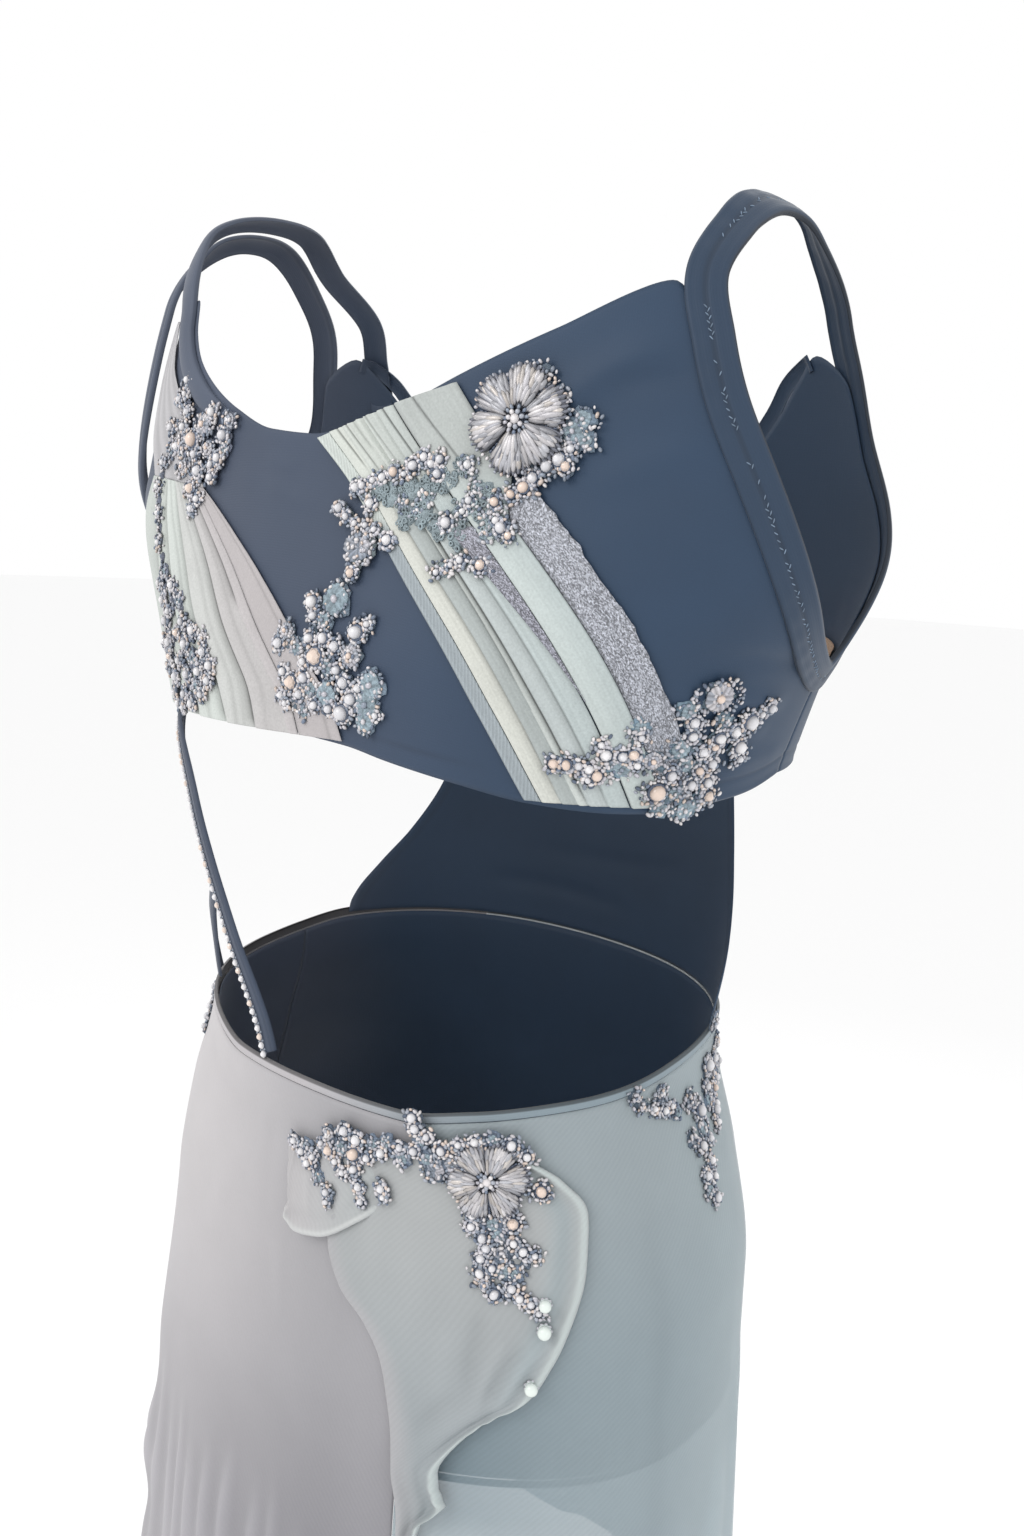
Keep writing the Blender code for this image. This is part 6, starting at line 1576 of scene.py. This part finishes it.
HIP_FRONT = [(112.5, -0.0060, 2.4, "s"), (110.5, -0.0120, 2.6, "r"), (109, -0.0180, 2.2, "p"), (107.5, -0.0240, 2.2, "s"),
             (113, -0.0135, 1.8, "b")]
HIP_LEFT = [(-64, -0.0070, 2.2, "s"), (-63.4, -0.0120, 2.6, "l"), (-62.7, -0.0170, 2.6, "s"), (-62, -0.0220, 2.2, "s"),
            (-61.4, -0.0270, 1.9, "s"), (-65, -0.0150, 1.7, "b")]

spray("beads_back_left", "applique_back_left", BACK_LEFT, figure, 3.3, 11, "#93a2a8", fill=1.3,
      extra=[(18, 0.2440, 4.5), (22, 0.2430, 5.0), (27, 0.2450, 5.0), (31, 0.2470, 5.0), (35, 0.2500, 4.5), (38, 0.2550, 4.0)])
spray("beads_back_lower", "applique_back_lower", BACK_LOWER, figure, 3.3, 12, "#93a2a8", fill=1.3,
      extra=[(30, 0.2360, 4.5), (34, 0.2320, 5.0), (39, 0.2390, 5.0), (43, 0.2450, 4.5), (38, 0.2290, 4.5), (43, 0.2350, 4.0), (26, 0.2340, 4.0)])
spray("beads_back_right", "applique_back_right", BACK_RIGHT, figure, 2.9, 13, "#7d90a3")
rosette("flower_back_beads", "flower_back", 48.2, 0.2728, 21.4, 4.2, figure, 0.35, 21)
spray("beads_left_strap", "applique_left_strap", LEFT_STRAP, figure, 3.2, 14, "#868da0", fill=1.8)
LEFT_SIDE = LEFT_SIDE + [(-52.5, 0.1890, 2.1, "s"), (-53.0, 0.2010, 1.9, "b"), (-51.0, 0.1800, 2.3, "s"), (-49.5, 0.1710, 2.4, "s"),
                         (-50.5, 0.1640, 2.0, "p"), (-47.5, 0.1560, 2.4, "s"), (-49.0, 0.1480, 2.0, "s"), (-56.5, 0.2140, 1.7, "s"),
                         (-58.0, 0.2270, 1.7, "s"), (-59.5, 0.2390, 1.8, "s"), (-55.0, 0.1960, 1.6, "s"), (-53.5, 0.1700, 1.9, "s"),
                         (-53.0, 0.1580, 1.9, "b"), (-47.0, 0.1440, 1.8, "s"), (-58.5, 0.2500, 1.6, "s")]
spray("beads_left_side", "applique_left_side", LEFT_SIDE, figure, 3.6, 15, "#868da0", links=17, fill=1.8)
spray("beads_centre_back", "applique_centre_back", CENTRE_BACK, figure, 2.6, 16, "#8294a5", fill=1.4)
spray("beads_underarm", "applique_underarm", UNDERARM, figure, 3.0, 17, "#7f97a8", fill=1.3)
spray("beads_front_bust", "applique_front_bust", FRONT_BUST, figure, 3.0, 18, "#8294a5", links=17, fill=1.8)
rosette("flower_front_beads", "flower_front", 144, 0.2230, 17.5, 4.2, figure, 0.1, 22)
spray("beads_front_left_bust", "applique_front_left_bust", FRONT_LEFT_BUST, figure, 2.4, 19, "#8294a5", links=17, fill=1.8)
ease = lambda rows: [(a + 2.2 * float(step(a, 5, 50)), zz - 0.002 * float(step(a, 5, 50)), r, k) for a, zz, r, k in rows]
WAIST_BACK, ON_DRAPE = ease(WAIST_BACK), ease(ON_DRAPE)
HIP_RIGHT = [(a + 1.2 + 2.2 * float(step(-zz, 0.0, 0.06)), zz, r, k) for a, zz, r, k in HIP_RIGHT]
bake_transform(spray("beads_waist_back", "applique_waist_back", WAIST_BACK, hang, 6.9, 31, "#77869a", rides=None))
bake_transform(spray("beads_drape", "applique_drape", ON_DRAPE, hang, 5.9, 32, "#77869a", rides=None))
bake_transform(rosette("flower_waist_beads", "flower_waist", 50.1, -0.0305, 17.4, 6.9, hang, 0.15, 23, rides=None))
spray("beads_hip_right", "applique_hip_right", HIP_RIGHT, hang, 3.5, 33, "#6f8296")
spray("beads_hip_front", "applique_hip_front", HIP_FRONT, hang, 3.5, 34, "#6f8296")
spray("beads_hip_left", "applique_hip_left", HIP_LEFT, hang, 3.5, 35, "#6f8296")

PEARL_BALL, PEARL_RING = ball(26, 16, -0.9), loop(26, 8, 0.20)
for k, (a, zz, r) in enumerate(((59.9, -0.0785, 2.6), (59.8, -0.0890, 2.9), (58.0, -0.1135, 2.8)), 1):
    s = Soup()
    q = hang.on(a, zz)
    N = hang.normal(q)
    high = 6.6 + float(flare(a, zz))
    scatter(s, PEARL_BALL, q + N * (high + 0.82 * r) * MM, N, (r, r, r * 0.92), 0.4 * k, colour("#e6efea"), 5, 0.72)
    scatter(s, PEARL_RING, q + N * (high + 0.1) * MM, N, (r * 1.02, r * 1.02, r * 0.9), 0, colour("#c9d2d2"), 0, 0.45)
    t = 2 * np.pi * np.arange(9) / 9
    side = np.cross((0, 0, 1.0), N)
    side /= np.linalg.norm(side)
    up = np.cross(N, side)
    C = q + N * high * MM + (side[None] * np.cos(t)[:, None] + up[None] * np.sin(t)[:, None]) * (r * 1.02 * MM)
    scatter(s, SEED, C, np.repeat(N[None], 9, 0), (0.75, 0.45, 0.5), t + 1.57, THREADS[1], 0, 0.4)
    keep(s.make("pearl_%d_sewn" % k, BEAD_MATS), "pearl_%d" % k, body="overlay")

# rhinestone edging along the jewelled strap: stones in settings on a fine corded base
trim = [(a - 1.45, zz - 0.0014) for a, zz in JEWEL[2:]]
s = Soup()
ribbon(s, trim, 160, 1.45 * MM, lambda u, k: 2.55 + 0.35 * np.sqrt(np.clip(1 - k ** 2, 0, 1)), 0.5, colour("#8d94a3"), cols=9)
p, t, nn, side = path(trim, 44, figure)
rng = np.random.default_rng(5)
tones = mix(colour("#eceaed"), colour("#ecd9cc"), (rng.uniform(size=len(p)) < 0.3) * 1.0)
scatter(s, STONE, p + nn * 3.3 * MM, nn, (1.55, 1.55, 1.5), rng.uniform(0, 3, len(p)), tones, 1, 0.42, False)
scatter(s, LOOP, p + nn * 3.0 * MM, nn, (1.85, 1.85, 1.1), 0, THREADS[2], 2, 0.4)
p, t, nn, side = path(trim, 88, figure)
for sign in (-1, 1):
    q = figure.settle(p[1::2] + side[1::2] * sign * 1.5 * MM)
    scatter(s, SEED, q + nn[1::2] * 2.9 * MM, nn[1::2], (0.75, 0.55, 0.6), 0.6, THREADS[3], 0, 0.3)
keep(s.make("strap_rhinestone_edging", [THREAD, CRYSTAL, SILVER]), "strap_rhinestone_trim")

# ------------------------------------------------------------------ stage, light and camera
def plain(name, code, rough=0.9):
    m = bpy.data.materials.new(name)
    m.use_nodes = True
    p = m.node_tree.nodes["Principled BSDF"]
    p.inputs["Base Color"].default_value = (*colour(code), 1)
    p.inputs["Roughness"].default_value = rough
    p.inputs["Specular IOR Level"].default_value = 0.1
    return m


me = bpy.data.meshes.new("floor")
n = 96
a = 2 * np.pi * np.arange(n) / n
R = 14.0
me.from_pydata([(R * np.cos(t), R * np.sin(t), -0.95) for t in a], [], [list(range(n))])
floor = bpy.data.objects.new("floor", me)
me.materials.append(plain("pale_floor", "#fafafa"))
bpy.context.scene.collection.objects.link(floor)

world = bpy.data.worlds.new("studio")
world.use_nodes = True
world.node_tree.nodes["Background"].inputs["Color"].default_value = (1.0, 1.0, 1.0, 1)
world.node_tree.nodes["Background"].inputs["Strength"].default_value = 1.0
bpy.context.scene.world = world


def area(name, where, target, size, power, tone):
    light = bpy.data.lights.new(name, "AREA")
    light.energy, light.size, light.color = power, size, tone
    ob = bpy.data.objects.new(name, light)
    ob.location = where
    d = np.array(target, float) - np.array(where, float)
    d /= np.linalg.norm(d)
    x = np.cross(d, (0, 0, 1.0))
    x /= np.linalg.norm(x)
    y = np.cross(x, d)
    ob.matrix_world = Matrix(((x[0], y[0], -d[0], where[0]), (x[1], y[1], -d[1], where[1]),
                              (x[2], y[2], -d[2], where[2]), (0, 0, 0, 1)))
    bpy.context.scene.collection.objects.link(ob)


area("key", (0.55, 1.55, 1.15), (0, 0, 0.05), 0.9, 9, (1.0, 0.97, 0.94))
area("fill", (-1.9, 0.3, 0.5), (0, 0, 0.05), 1.4, 2.5, (0.93, 0.97, 1.0))
area("front_soft", (0.5, -1.9, 0.9), (0, 0, 0.05), 1.4, 5, (1.0, 1.0, 1.0))

cam = bpy.data.cameras.new("camera")
cam.lens, cam.sensor_width, cam.sensor_fit = 33.59, 36.0, "AUTO"
cam.clip_start = 0.01
eye = bpy.data.objects.new("camera", cam)
X, Y, Zf = (-0.7791093, -0.62465479, 0.05286861), (0.16627563, -0.1246002, 0.97817545), (0.60443454, -0.77089635, -0.20094205)
C = (-0.42436334, 0.50348666, 0.25387075)
eye.matrix_world = Matrix(((X[0], Y[0], -Zf[0], C[0]), (X[1], Y[1], -Zf[1], C[1]), (X[2], Y[2], -Zf[2], C[2]), (0, 0, 0, 1)))
bpy.context.scene.collection.objects.link(eye)
bpy.context.scene.camera = eye
bpy.context.scene.view_settings.view_transform = "Standard"
bpy.context.scene.view_settings.look = "None"
